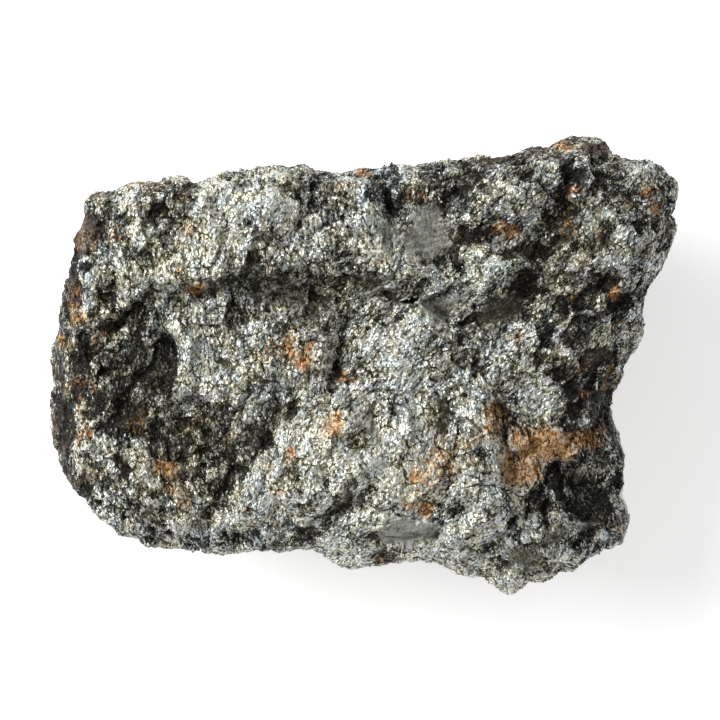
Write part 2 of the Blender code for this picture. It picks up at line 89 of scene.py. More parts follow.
# The slaty faces: height of their fine relief in millimetres, the way of their stripes in degrees from
# +X, and how many of the relief's waves there are to a millimetre along and across that way.
SLATE_RELIEF = 0.04
SLATE_WAY = 15
SLATE_WAVES = (0.3, 1.6, 1.0)

# The long way of the grains in degrees from +X, and where each of the ways holds: x, y, which way.
# The facets of each way are taken from a part of the pattern of their own.
WAYS = (88, 52, 104)
WAY_PLACES = (
    (-42, 10, 0), (-30, 22, 0), (-12, 22, 0), (-35, -12, 0), (-15, -5, 0), (5, 26, 0), (-20, 8, 0),
    (-28, -24, 2), (8, 5, 1), (0, 10, 1), (22, 26, 1), (25, 8, 1), (38, 12, 1), (35, 25, 1), (30, -2, 1),
    (-5, -10, 1), (-3, -24, 1), (9, -13, 0), (20, -14, 2), (32, -20, 2), (40, -14, 2), (18, -27, 1),
    (30, -31, 2), (-12, -17, 0),
)
WAYS_APART = 37.0

# Seeds of the facets and noises. A pattern also uses the few numbers after its own.
FACET_SEED = 101
SLATE_SEED = 55
EDGE_SEED = 60
WAY_SEED = 70
MOTTLE_SEED = 31

# How borders wander, as the size of the noise in millimetres and how far it moves them: the borders
# between the ways of the grains in millimetres, and those of the patches in shares of their own wander.
WAY_DRIFT = (6.0, 3.0)
EDGE_DRIFTS = ((3.2, 1.0), (1.3, 0.5))

# Painted shade in a hollow and painted light on a ridge, at two widths: rounds of smoothing, depth in
# millimetres, share of light. The hollows also get more olive weathering.
HOLLOWS = ((8, 0.35, 0.13), (60, 0.9, 0.17))

# Sizes in millimetres of the broad, middle and small mottles.
MOTTLE_SIZES = (15.0, 6.0, 2.6)

# The light share of the broken face and of its sides from 0 to 1, which on the face holds painted light and
# shade besides the grains' tone, how far the listed patches change it, how dark a crack is with painted
# shade, and the darkest that it gets.
LIGHT_LEVEL = 0.585
SIDE_LEVEL = 0.34
LIGHTER = 1.15
DARKER = 0.9
CRACK_SHADE = 0.13
DARKEST = 0.14

# Patches of the broken face's finishes and of its painted light and shade, listed by strength: x, y, half
# length, half width where it isn't the same, and turn in degrees where there is one. The swells are broad
# and add up, and of the other patches the strongest one counts. The swells are mostly painted light and
# painted shade.
PAINTED_LIGHT_AND_SHADE = {
    -0.28: ((37, 30, 2, 3), (28, -20, 2)),
    -0.21: ((-50, 0, 6, 30),),
    -0.2: ((-5, 18, 2, 4), (-16, 16, 3, 2)),
    -0.18: ((41, -8, 6, 14),),
    -0.16: ((-13, -14, 3, 4, 30), (26, -12, 2), (-12, 5, 2), (46, 33, 4, 2)),
    -0.14: ((28, 34, 14, 4, 10), (-32, 18, 3, 4), (-15, 4, 3), (42, -12, 3, 5), (-38, 28, 6, 2),
        (18, 5, 2.5, 2), (-22, -3, 3, 2), (24, -12, 4, 2), (-50, 16, 3, 8)),
    -0.12: ((-20, 7, 2, 3), (-20, -17, 5, 3), (-42, -13, 3, 2), (33, -28, 4, 3), (14, -7, 2, 3),
        (3, 9, 3, 1.5), (-24, -17, 2), (-39, 22, 2), (-16, -16, 3), (-5, 20, 3, 2), (3, -8, 1.5, 3),
        (13, -12, 2), (50, 22, 3, 5), (-13, -12, 3, 2), (9, 27, 5, 3), (-28, 29, 4, 2)),
    -0.1: ((25, 33, 6, 2), (18, 19, 4, 3), (44, 23, 3), (-50, -7, 2, 5), (40, -26, 4, 2), (-47, -14, 3),
        (1, -11, 2, 3), (-2, 4, 1.5, 2), (14, -12, 2, 3), (28, 19, 2), (20, 22, 4), (33, 2, 3, 5)),
    -0.08: ((3, 7, 5, 2), (0, 3, 1.5, 4), (34, -28, 4, 2), (-6, 19, 2), (-22, -1, 2), (-39, -11, 6, 5)),
    -0.07: ((39, 11, 8, 7),),
    -0.06: ((34, 21, 9, 6), (-40, -24, 8, 5, -35), (-38, 18, 2, 5), (-38, 15, 3), (-36, -3, 9),
        (-36, 5, 3)),
    -0.05: ((-26, -13, 7, 5),),
    -0.03: ((36, 22, 12, 10),),
    0.06: ((4, -25, 5, 3),),
    0.08: ((-4, 22, 12, 7), (-20, -26, 8, 5), (8, -14, 4, 3), (-28, 2, 2, 4), (-14, -20, 5, 3)),
    0.1: ((8, 3, 13, 8), (-22, 21, 13, 8), (-20, 4, 12, 8), (22, -25, 4), (14, 13, 4, 2), (9, -5, 2, 6),
        (-44, -17, 3), (-37, 14, 4), (-6, 11, 8, 2), (-27, 0, 4, 5), (24, -17, 4, 6), (10, -2, 4),
        (7, -15, 5, 4), (-4, -21, 4, 3), (23, -20, 3, 4), (27, 28, 4, 3), (-43, -13, 3, 2),
        (-30, -29, 6, 2)),
    0.12: ((-25, 27, 4, 3), (-14, 26, 4), (5, 16, 3), (-27, 1, 2, 4), (24, 5, 5, 1.5), (42, 15, 3, 2),
        (-39, -26, 3, 2, -30), (25, -25, 3, 4), (6, -13, 6, 5), (0, -22, 5, 3), (-27, 3, 2, 5),
        (-28, 14, 6, 2), (14, -31, 8, 2.5, -8), (-30, 1, 2, 3), (0, 13, 3, 2), (-23, 12, 3, 2),
        (46, 16, 3, 4), (30, -4, 2, 3), (-10, -8, 3)),
    0.14: ((-46, -12, 2, 4), (10, -17, 3, 4), (20, 14, 4, 2), (12, -32, 12, 2, -10), (46, 19, 3, 4),
        (23, -17, 3, 5)),
    0.15: ((5, -14, 24, 14, -10), (34, 35, 3)),
    0.16: ((-44, 12, 2, 3), (-17, -28, 4, 2), (24, -17, 2.5, 4)),
    0.18: ((-8, -25, 3, 2), (31, -12, 3, 2)),
    0.2: ((-3.3, 3.5, 1, 3.5),),
    0.22: ((-20, 20, 3, 2.5), (45, 20, 2.5, 2)),
}
# Pale patches: lighter grains, with painted light and painted highlights on the faces turned to the window.
PALE_AND_LIT_PATCHES = {
    0.08: ((44.5, 8.5, 2.5, 1),),
    0.1: ((-27, 27, 1.5, 2), (13.5, 31.5, 1.5, 1), (23, 1.2, 1.5, 1), (38, -15, 2, 1)),
    0.12: ((-36.5, 22.5, 3.5, 3), (23.5, 32, 3.2, 1.5), (38.5, 24.3, 2.5, 1.3), (21.5, 3, 2.5, 2)),
    0.15: ((-43, 17.5, 1.2, 1.8), (-22.5, 10.5, 3, 1.2), (-47.5, 17, 1), (-12.5, 19, 2, 2.5),
        (-2, 20.5, 1.5), (47, 31.5, 2, 0.8), (43.5, 4.7, 2, 1.2), (31, 17, 2, 0.4), (-23, -2, 2, 1.5),
        (-43, -24.5, 2, 1), (-28, -21, 1.5, 0.8), (-27, -23, 1, 1.5, -40), (14, 1, 1.5, 1), (8, -24, 2, 1),
        (20.5, -27.5, 1.5, 2.5), (32.5, -24.5, 1.2, 1.8, -40), (23, -20.5, 1), (24, -36, 2.5, 1.2, -15),
        (34, -17.5, 1, 0.5)),
    0.2: ((-38, 27, 2.5, 3), (-33.5, 15.3, 2.5, 1.2, 5), (7.2, 31.5, 2, 0.7), (-4.5, 20, 0.6),
        (-16.5, 5.5, 2, 1), (-8.5, 5.5, 1.5, 1), (9, 1.5, 2.5, 1.6), (24.5, 29.8, 3, 1.2, 10),
        (21.5, 29, 1.4, 1.2), (30.5, 32.7, 1.6), (28.5, 26, 1, 0.7), (28, 4.5, 1.2, 1.4),
        (31.8, 12.6, 1.5, 1), (43.2, 7.3, 0.6, 0.5), (29, 17, 0.8, 0.4), (-41.5, -21.5, 2, 1),
        (-36.5, -22, 1.5, 0.8), (-31, -27, 2.5), (9, -14, 1.5), (-16, -22, 2.5, 2), (2, -25.5, 3, 1.2, 20),
        (-3, -26.5, 1.5, 1.2), (17, -7.5, 2, 1.8), (9.5, -3.8, 1.2, 1), (29.5, -7, 2, 1.5),
        (27.5, -9.5, 1, 1.2), (23.5, -6, 1.6, 0.8, -20), (28, -26, 1.6, 0.8, 60), (26, -21.5, 0.8),
        (42.5, -22.5, 0.8, 2.5)),
    0.22: ((-31, 6.5, 1.8, 1.2, 30), (-38, -14.5, 2, 1.8, -40)),
    0.25: ((-44, 14.5, 1.8, 1.4), (-24.5, 17.5, 2, 3), (-18, 5, 1.5, 2), (-17, 30, 2, 0.8),
        (19, 14.3, 1.8, 1), (28, 23.8, 1.8, 2.2, -15), (24, 25.2, 1.6, 0.35, 50), (38.5, 28, 1.8, 1, 40),
        (46.5, 32.5, 2.6, 1.2, 25), (28.5, 10.5, 2, 0.7, 25), (-20, -1.5, 1.5, 2), (-29, -8, 1.3, 1),
        (-35.5, -18.5, 2.6, 1.6, -20), (-47, -17.5, 0.6, 1.5, -20), (-20, -23, 1.5, 1),
        (-17.5, -6.5, 1.5, 2), (-5.5, -13.5, 1.5, 1), (-4, -31, 3, 2.6), (11.5, -30, 3, 1.6, 10),
        (36, -5.5, 0.8, 0.6), (18.5, -8, 1.5, 2.5, -10), (16.5, -31, 1.5, 1), (39.5, -20.5, 0.5, 1.6, 10),
        (39, -3.5, 0.5, 1.2, 20)),
    0.28: ((-26, 22.5, 3, 2),),
    0.3: ((-40.5, 17.5, 1.2, 2.2), (-46.5, 9, 1.2, 2), (-24, 28.5, 3.5, 1.8, 5), (-28, 29.8, 1.5, 0.7),
        (-26.5, 30.7, 3, 0.5, 8), (-27.5, 8.8, 3.6, 1, 45), (-13.5, 23, 0.8, 1), (6.8, 16.4, 1.4, 0.9),
        (18.5, 23.3, 1, 0.8), (-14, 7.8, 1.1), (-4, 16.6, 1.3, 0.3, -62), (0.5, 9.4, 0.8, 0.6),
        (28, 33.8, 0.6, 0.7), (25.3, 27.2, 1.8, 0.5, 65), (37.5, 22, 1.8, 1, 10), (43, 15.8, 1.4, 1),
        (25, 6.7, 1, 0.6), (33, 1.8, 1.4, 0.8), (31.8, 2, 0.8, 0.6), (-19, -7.5, 1, 1.4),
        (-42.5, -16, 1, 1.2), (-34.5, -23, 1, 0.6), (-22, -25.5, 2, 1.5), (-18, -19, 1.5, 2),
        (-12, -11.5, 3, 2), (-14, -17.5, 2.5), (-12, -13.5, 2, 1.5), (7, -21.5, 3, 1.5),
        (7, -29.2, 1.5, 0.6), (17, -21, 1.6, 1.4), (17.5, -24.5, 1.5, 1), (4.5, 1, 2, 1.5),
        (19, -33.5, 2, 0.8, -15), (35.5, -22, 2.6, 0.4, -35), (37.5, -25.5, 2.4, 0.4, 15),
        (34, -25.5, 1.6, 0.4, -50), (37, -7, 0.5, 1.4, -20), (41, -14.5, 0.4, 1.6, 25)),
    0.32: ((8.5, 6.5, 3, 2, 45),),
    0.33: ((-27.5, 18, 2.6, 3.2, 10),),
    0.35: ((-38.8, 11.8, 1.8, 0.7, -30), (-40.5, 14.7, 0.7, 0.6), (-31.3, 16.8, 0.6), (-8.8, 18.8, 1, 0.6),
        (0.5, 26, 0.7, 1.4, 40), (-3, 31.3, 1.5, 0.6), (3.2, 12.8, 1.6, 0.35, -25), (-1.6, 13.8, 0.5, 0.4),
        (35.8, 17.2, 1.6, 1, 30), (26.5, 7, 1.6, 0.7, -10), (-30.5, -4, 1.2, 0.6, 40),
        (-25.5, -4.5, 2, 1, -20), (-43.5, -13, 2.6, 2, -20), (-9, -8.5, 2.5), (-4, -9.5, 2.4, 3),
        (-6.5, -18, 3.5, 3), (17, -2.5, 1.6, 1.2), (5, -3, 1.6, 1.2), (28.5, -4, 1.6, 0.8),
        (20.6, -12, 4, 0.6, -75), (17, -20.5, 1.6, 2), (17, -27.5, 2.2), (33.5, -31.8, 1.6)),
    0.36: ((-21, 21.5, 3, 2.2),),
    0.38: ((-28.3, 4.5, 2.2, 4.5, -10), (-27.6, 1, 1.6, 2), (41.8, 18, 2.2), (3, -17.5, 4, 2.2),
        (21, -21, 1.2, 2.5)),
    0.4: ((-16.5, 28.5, 1, 0.8), (1.8, 18.9, 1.2, 0.7), (-15.5, 31.8, 1.2, 0.6), (17.2, 26.2, 0.5, 0.8),
        (18, 18, 1.6, 2), (3, 4, 3, 1.6), (18.2, 17.5, 1.5, 2, -20), (22.3, 20.2, 2.6, 0.9, 12),
        (43.5, 21.7, 2.6, 1.2, 55), (28.5, 7.2, 0.8), (-45.8, -9.7, 0.8, 0.4), (-13.7, -3.8, 0.6, 0.9),
        (-1, -32.8, 1.5, 0.8), (16.5, -28, 2, 2.5), (39, -20.3, 2, 0.4, 10)),
    0.42: ((21.5, 16.8, 2, 1.3, -20),),
    0.45: ((-12, 27.2, 0.6, 1.4, 30), (-1.2, 24.2, 0.5, 1.3, 10), (-27.8, -1.2, 2, 2.2),
        (-16.5, -23.3, 0.7, 0.8), (40.7, -28.5, 1.2, 1.4)),
    0.5: ((-19, 27.2, 2.6), (-18.3, 27, 1.6, 2.4), (-12.8, 24.8, 1.1, 1.6, 20), (-7.6, 20.2, 0.7, 2),
        (17, 24.3, 0.8, 1), (6.2, -12, 2.4, 2.6), (19.5, -23.8, 2.6, 0.9)),
    0.55: ((36.8, -9.2, 0.6, 0.5),),
    0.6: ((33.2, -4.2, 0.6),),
}
# Dark patches: darker grains and pockets, with painted shade below the ledges and on faces turned from the
# window.
DARK_AND_SHADED_PATCHES = {
    0.1: ((-5, 27.5, 4, 2.5), (-10.8, 6.5, 1.2, 1), (11.5, 3.5, 2, 1.5), (44, 28.5, 1)),
    0.12: ((-41.5, 25.5, 3, 1.5, -40), (-3, 8, 1.5, 3), (45.8, 23, 1.2, 1.6, -20)),
    0.15: ((-30, 24.5, 1.2, 2), (-36.5, 17, 1, 3.5, -10), (-31, 0.5, 1.2, 1), (-33, 6, 2.5, 3),
        (-35, 2, 5, 3), (-18.2, 23.5, 1, 1.5), (12.2, 30.5, 1.5), (-9, 12, 10, 3.4), (7.6, 14.2, 1.6, 1.2),
        (17.8, 2.5, 1.5, 2), (32.8, 27.5, 0.8, 2.5, 10), (46, 17, 2.2), (36.5, 8, 3), (38, 11, 1, 3, -20),
        (17.8, 30.5, 2), (-43, -8, 3, 1.5), (-24, -8, 4, 1.5), (-20, -13, 3), (11, -8, 1.5),
        (36, -30, 3, 1, 15)),
    0.18: ((31, 23.5, 1.4, 3.5, 10), (30.3, 27.5, 0.8, 2.5, -10)),
    0.2: ((-31, 3, 0.8, 2.8, 10), (-34.5, 9.5, 2), (-33.3, 29, 2.5, 1.2), (-9.5, 30, 2.5, 1.5),
        (-4.6, 24.5, 0.8, 1.5), (-14.5, 20.5, 1, 2), (-2, 5.5, 1.1, 3.5), (9, 17.5, 1.5, 0.8),
        (-6.8, 6.5, 1.2, 1.6), (16, 6, 1, 2), (15.5, 2, 0.7, 3), (24.5, 18.2, 1.5, 0.6), (33.5, 28.5, 1, 4),
        (40.5, 30.8, 2.5, 1.2), (42, 28, 1.5), (48.5, 23, 1.2, 1.5), (49, 29.5, 2, 1.5, -40),
        (19, 32.5, 2.5, 1), (47, 12, 1.5, 3, -15), (-40, 0, 5, 3), (-37, -2.5, 4, 2), (-42, -5.5, 3, 1.6),
        (-38, -7.5, 3, 2), (-31, -13.5, 3, 2.5), (-26, -12, 4, 3), (-50, -10.5, 1, 2), (-24.5, -29, 5, 1.8),
        (-20, -27.5, 2.5, 1), (-38, -28, 1.6, 0.8), (-18, -4, 1.5, 1), (1, -23, 1.6, 0.8),
        (-11, -26.5, 2, 1.5), (0.2, -7, 0.6, 1), (30, -10.8, 1.5, 0.5), (25.5, -9.5, 1, 1.5),
        (21, -31.8, 2, 1)),
    0.22: ((-22.5, 7.5, 1.6, 2), (-3.5, 2.5, 1.2, 2.5), (-30.5, -0.8, 1, 2)),
    0.25: ((-42.5, 12.8, 1.6, 2.2, 20), (-31.5, 13.3, 3.5, 0.8, -5), (-22, 31.5, 2.5, 0.9),
        (-5.8, 23.3, 0.8, 1), (-17, 21.5, 1.5, 2.5), (2, 31.5, 2.5, 0.8), (13.5, 27, 2.5, 1.6, 40),
        (15.5, 28.8, 1.5, 2), (-3, 17, 1.4, 1.6, -40), (4.8, 10.2, 1, 0.7), (13, 17.2, 3, 1.6, 10),
        (33.5, 22.5, 2), (18.5, 28, 1, 1.4), (-37, -11, 3, 1.5), (-29.5, -17, 1, 3), (-49.5, -14, 1.2, 4),
        (-13.5, -8, 2.5, 2), (-9, -23, 2, 1.5), (-15, -27, 3.5, 1.6), (-16, -30, 3.5, 0.9),
        (0, -30, 0.8, 1.8), (16.3, -23, 1), (15, -0.3, 1.5, 0.8, 15), (2.2, -2, 0.8),
        (21, -4.3, 1.5, 0.5, 15), (24.5, -29.8, 3, 0.4), (38, -27, 2, 1, 20)),
    0.28: ((-47.3, 15.5, 1.8, 2.2), (38.5, 14, 1.8, 1), (-3.5, -0.5, 1, 2)),
    0.3: ((-43.5, 22, 1.6, 3.2, 15), (-38.7, 18.8, 1.2, 1.6), (-39.5, 20, 0.8, 1), (-18, 17.5, 1.6, 2, 40),
        (2.2, 29.5, 2, 1.2, 40), (-3.5, 12.8, 1.2), (13, 11.8, 2, 0.8, 20), (33.8, 33.5, 0.8, 1.5, -20),
        (40.5, 22, 1.2, 0.8, 40), (42, 13.5, 3, 1), (29.5, 12, 1.5), (36, 5, 1.5, 1),
        (21, 22.5, 0.6, 1.5, -30), (-41.5, -10.3, 2.5, 1), (-34.5, -21.5, 1.8, 0.6, -15),
        (-37.5, -22.5, 1.5), (-42.5, -19.5, 1.5, 1), (-24.8, -25, 0.8, 2), (-33.5, -27.5, 1.8, 2, -30),
        (-17, -2, 2.5, 1.5), (-1.2, -11, 1.2, 2.5), (-10.5, -20.5, 1.2, 1.5, -30), (-0.8, -20, 1),
        (-6, -25.5, 1.6), (8.3, -30.8, 0.8, 1.2), (13, -26.2, 1.8, 0.9, 10), (14.8, -19, 0.4, 4.5),
        (11.5, -1.5, 1, 1.2), (15.3, -5.5, 0.5, 2), (37, -1, 3, 1.2, 10), (22.8, -9, 1.8, 2.6),
        (22.2, -13.5, 2.5, 0.6, -70), (23, -17.5, 0.5, 1.5), (36.5, -15.3, 2.5, 1.2), (24.5, -24.5, 1.5, 3),
        (28, -22.5, 1.2, 2.5, -20)),
    0.35: ((-30, 27, 1.6, 2.6, -20), (-36.2, 8.5, 0.7, 2.8), (-37.5, 5, 3, 0.8, 60),
        (-23.2, 0.8, 2.2, 0.9, -20), (-10.3, 23.3, 0.6, 1), (6.2, 27.5, 2.6, 0.9, 50),
        (-11, 13.3, 5, 0.45, -27), (0.5, 14, 1.5, 1.2), (14, 8.5, 2.5, 0.7, -40), (26, 19, 2.5, 1),
        (45, 14, 2, 1.5), (22, 12, 3, 1.2, 30), (23, 9.2, 4, 1.6, 12), (29.8, 3.8, 2.5, 0.8, 55),
        (39.5, 1.2, 3, 1.2), (22.5, 18.2, 3, 0.35, -22), (-47.5, -4, 0.8, 2), (-32, -3, 2.5, 1.6, 10),
        (-33, -19.5, 1.4, 0.6, -60), (-25, -20.5, 3, 1.5, 10), (-16.8, -12.5, 2, 2.8), (-14.8, -12, 0.6, 2),
        (-7.5, -1.5, 1.6, 0.8, -20), (4.3, -6.8, 0.6, 1.2), (-11, -18, 1.2, 2.5), (-3, -22.5, 3, 1.8, 20),
        (13.8, -9, 1, 2.4, -10), (9.7, -21.5, 1.6, 0.35, -58), (31.5, -1.5, 1.5, 1.5, -30),
        (39.5, -22.5, 1.5, 2.5), (42.4, -13.5, 3.5, 0.6, -68), (31, -23, 1.5, 2.5, -50),
        (29.5, -25.5, 1, 1.5), (31, -33, 1.8, 0.4, 50)),
    0.38: ((-22.5, 14.2, 3, 1, 15),),
    0.4: ((-33.5, 25, 2.2, 1.5, 30), (-20.5, 9.5, 3, 0.7, -45), (-10.8, 27.5, 0.9, 2.5),
        (-11, 24.5, 0.5, 1.6), (18.3, 21.5, 1.6, 1), (-17.5, 17, 3, 0.7, -35), (18, 7.5, 2, 1),
        (35, 31, 1.6), (-40.5, -16.5, 2.6, 0.8, -57), (-40, -25, 1.2, 0.6), (-12, -6.5, 0.8, 3, 10),
        (2.8, -12.5, 1.6, 0.5, -65), (8.6, -12.5, 0.3, 1.6, -25), (7.8, -14.6, 1, 0.4),
        (-9, -28.5, 2.5, 1.6, 20), (3.5, -31.5, 2.5, 1.4), (38.5, -5.5, 2, 3.5), (32, -17.8, 3, 0.6, -20),
        (37, -20, 3, 0.8), (36.5, -24, 3.5, 1.6), (40.8, -7, 0.8, 3), (23, -33.2, 1.2, 1, 30)),
    0.42: ((-25.5, 6, 1, 2.6, 5),),
    0.45: ((-28.3, 30.2, 1.2), (16.6, 22, 0.8, 1.6, 30), (-50.5, -7.3, 1.2, 1.6), (-46.5, -20.5, 1.5),
        (-13.3, -28, 0.8), (2.2, -28.2, 1, 0.8), (12.5, -23, 1.4, 0.6, -15), (33.3, -10.3, 2, 0.8, -20),
        (33.5, -21, 3.6, 2.2, -45), (42.2, -28, 0.4, 2.5)),
    0.5: ((-40, 8, 4, 0.8, 40), (-46.8, 2.5, 0.8, 3.5), (4.8, 25.8, 1, 2.4), (-12.8, 7.2, 0.3, 1.2),
        (33.4, 9, 1, 1.4), (26.3, 13.5, 2.2, 2.6, -50), (15.5, -24.2, 1.2, 1, -30), (18.3, 0.5, 0.7, 1.8),
        (34.5, -5, 1.5, 5, 5), (42.3, -19, 0.8), (41.2, -24, 0.5, 2.2), (29.8, -29.8, 1, 0.4)),
    0.55: ((29.5, 18.7, 2, 1.4),),
    0.6: ((42.5, 10.3, 2.2, 1.2, 15), (-6.2, -19.6, 0.8, 1)),
}
RUST_PATCHES = {
    0.2: ((4, 14, 2, 1),),
    0.25: ((-17, 2, 2),),
    0.28: ((9, -20, 3, 4),),
    0.3: ((-42.5, 8.5, 2.4, 1, 30), (15.5, 21.5, 1, 1.6, 30), (6.8, -12, 1, 1.2), (35, -20, 1, 0.5)),
    0.35: ((-43.5, 4.2, 2.2, 0.8, 30), (9, 28.8, 1.8, 1.6), (-44, -3.5, 1, 1.2), (-37, -9.5, 1.8, 1.6),
        (-36.5, -11.2, 1.2, 1), (-45.5, -18, 2, 1.2, 10), (12, -12, 1)),
    0.38: ((13, -16, 5, 4),),
    0.4: ((-44.7, 19.5, 0.8, 1.8), (-47, 21.8, 1.1, 2.2), (-14.8, 3, 0.8, 1.5), (-13.5, 23.5, 0.4, 1.4, 15),
        (2.8, 17.2, 1.6, 1.2), (6.5, 2.8, 0.5), (21.5, 21.8, 1, 0.5), (36, 26, 0.5, 1), (34.5, 22, 1.5),
        (39.8, 18, 0.5, 1), (35.6, 17.8, 0.8, 0.4), (35, 12.5, 0.8, 0.6), (45, 31.7, 0.4, 0.8),
        (-46.8, -8.5, 0.7), (-28.7, -23.8, 0.8, 0.7), (-3.3, -15.8, 0.4, 0.8, 30), (18, -16, 0.5, 1),
        (19.3, -7.5, 0.4, 0.8), (43, -17.8, 0.6, 0.5)),
    0.5: ((-28.5, 22.5, 1, 1.4), (-47.8, 12.5, 1.6), (-2.5, 30.2, 1.5, 0.6), (-6, 18.2, 0.5, 0.3),
        (39.8, 26.2, 1.6, 0.5, 25), (43.5, 26.8, 0.6, 0.9), (49.3, 23.9, 0.5), (38.8, 3.8, 0.7, 0.4),
        (42.8, 1, 0.8, 0.6), (26, 4.5, 0.7), (-49.5, -3.8, 0.5, 1), (-46.8, -6.5, 0.5, 1.2),
        (-47, -13, 1, 0.6), (-12, -15.3, 1, 0.5), (-8.2, -17, 0.6, 0.5), (-9.8, -21.5, 0.8, 1.2, -30),
        (10.5, -16, 1, 0.5), (13.8, -15, 1.2, 2), (17.5, -13.7, 0.5, 0.8), (15.5, -18, 0.6, 1.6, 10),
        (37, -0.8, 1.5, 0.5), (34.8, -34.2, 0.5, 0.3), (22, -9, 2.4, 3)),
    0.6: ((-41.5, 21, 0.8, 0.9), (-30.2, 16.2, 0.8), (-48.3, 9.5, 0.8, 1), (22.5, 23.2, 1.5, 0.9),
        (46.7, 20.6, 0.5, 0.6), (-47.3, -2.4, 1.2, 0.7), (-46, -11.5, 1.4, 1, -20),
        (-29.3, -22.5, 0.9, 0.6), (-14.8, -17.3, 0.6, 0.9), (11.5, -17, 1.2, 1.2, -40), (12, -19.5, 1),
        (3, -32.2, 1.6, 0.6), (37, -11, 0.5, 1), (22, -7, 1.2, 0.8), (18.5, -17, 1.2, 0.4, -60),
        (-5.5, -9.5, 2.2, 2)),
    0.65: ((7.5, -23.3, 2.2, 1, -10),),
    0.7: ((-29.5, 29, 0.8, 0.5), (34.2, 25.3, 0.8), (39, 21.4, 0.4, 0.8), (37.8, 17.3, 0.5),
        (48.8, 26.3, 1, 1.4), (48, 18.9, 0.7), (34.3, 10.9, 0.9, 0.6), (-19.2, -24.3, 0.6),
        (-18, -26.9, 0.7, 0.5), (-11.7, -13.7, 1.2, 0.9, 20), (-14, -21.2, 0.8, 0.5), (15.8, -13, 0.6),
        (11, -23.8, 1.2), (23.8, -13, 0.8, 1), (40.5, -10.7, 0.6, 0.4), (39.5, -17.9, 0.9, 0.5),
        (43, -27.8, 0.5, 0.8), (37.8, -28.8, 0.5, 0.3)),
    0.75: ((24.2, -19, 1.6, 1.2), (26, -17, 2.6, 2.2, 20)),
    0.8: ((-46.7, 7.6, 1.4, 0.6), (-35, 30.1, 2.5, 0.4), (-8.2, 3.7, 0.7, 0.5), (47.8, 28.3, 1.2),
        (33.5, 36.6, 1.6, 1.4), (-31.8, -20.4, 1, 0.9), (-2.5, -2.3, 2.4, 0.7, -15),
        (-4.2, -8.4, 1.2, 0.7, 20), (-6.7, -11, 0.4, 0.6), (18.7, -12, 0.6, 0.7), (25.2, -16, 1.2, 1.6),
        (38, -12.5, 1.6, 1.2, 20), (39.6, -9.6, 0.5, 0.6), (41.5, -1.3, 0.8), (20.6, -16.2, 0.9, 0.6),
        (37, -12, 2.4, 1.6, 10)),
    0.85: ((-5.3, -10.8, 1.6, 1), (-11.5, 2.6, 1.9, 2.5)),
    0.9: ((-50, 3.8, 1.1, 1), (-9.5, 0.8, 1.4, 0.8), (0.3, 31.8, 1, 0.6), (34.8, 28.8, 1.2, 0.7, -15),
        (42.3, 6.9, 1.2, 0.5), (-32, -18, 1.4, 0.9), (-9.8, -0.3, 1.2, 0.7), (9, -18.5, 1.4, 1.4, -30),
        (28.5, -17, 1.2, 1.5), (35, -11.8, 1, 0.5), (37.2, -4.4, 0.8, 0.6), (40.7, -3.5, 1, 0.5, 30)),
    0.95: ((27.8, -14, 1.5, 1.4),),
    1: ((-27.8, 13.1, 1.6, 0.8, -5), (-11.4, 2.8, 1.1, 2, 10), (24.7, 22.2, 1.2, 1, -20),
        (41.8, 12, 1.3, 0.8, 15), (-33.3, -16.8, 1.8, 0.9, -10), (30.5, -12.8, 3, 1.6, -15),
        (33, -15, 1.6, 0.6, -15), (36.2, -33, 0.5, 0.6), (30.5, -13.2, 5, 2.6, -12)),
}
# Olive weathering, partly painted shade below the ledges and in the valleys.
OLIVE_AND_SHADED_PATCHES = {
    0.25: ((-26, -13, 4, 3), (-34, -13.5, 2, 1.5)),
    0.3: ((44.5, 2.5, 1.5), (-21, -13, 4), (-33, -6, 3, 2), (5.5, -6.5, 2, 1.2), (12, -32, 5, 0.8, -5),
        (-30, 16.5, 1)),
    0.35: ((-35, 1, 4, 3),),
    0.4: ((9, 27.5, 2.2, 2), (-22.5, 7.5, 1.6, 2), (26, 28, 2, 1, 50), (39, 20.5, 3, 1.5, 10),
        (11, -8, 1.6, 1.4), (-14, -8, 3, 2), (2, -23, 2, 0.8), (17, -22.8, 1.2, 0.8), (-24.8, 25.5, 1)),
    0.5: ((13, 17, 3.2, 1.6, 10), (-16.5, 11, 3), (-31.5, 13.3, 3.5, 0.8, -5), (23.5, 26, 4, 1.4, 30),
        (33, 20.5, 2.5, 1), (-33, -23.8, 3, 0.8, 5), (-37.5, -9, 3.5, 2.5), (15.5, -0.3, 2, 0.8, 15),
        (-16, -30.2, 4, 0.9), (26, -11, 1.5), (36, -18.3, 2.5, 0.8, 10), (32, -28, 4.5, 0.8, 17),
        (18, -31.8, 3, 0.9)),
    0.55: ((3.5, 11.3, 4.5, 1.8), (27, -31.8, 3.6, 2.2, -20)),
    0.6: ((-8, 9, 4, 2.5), (0.5, 14, 3, 1.5), (-11, 6.5, 1.3, 1.2), (-18.5, 15.5, 2, 1.5, 20),
        (-22.5, 14, 3.5, 1.2, 12), (28, 15.6, 2.2, 0.8, -35), (33.5, 23, 2.5, 2.2), (-45.5, -18, 2.2, 1.3),
        (-36, -25.5, 3, 1.5, -10), (-23, 0.5, 2.5, 0.7, -25), (-7.5, -26, 2.5, 1.5, 30),
        (3.5, -31.5, 2.5, 1.4)),
    0.7: ((-13, 12.5, 6, 2.6, -10), (25.5, 18.8, 3, 1), (39.5, 1.2, 3, 1.4), (-3, -22.8, 3.2, 2, 20),
        (22.8, -9, 2, 2.8)),
    0.75: ((13.5, -9.5, 1.4, 2.8, -10),),
    0.9: ((23, 9, 4, 1.8, 12),),
}
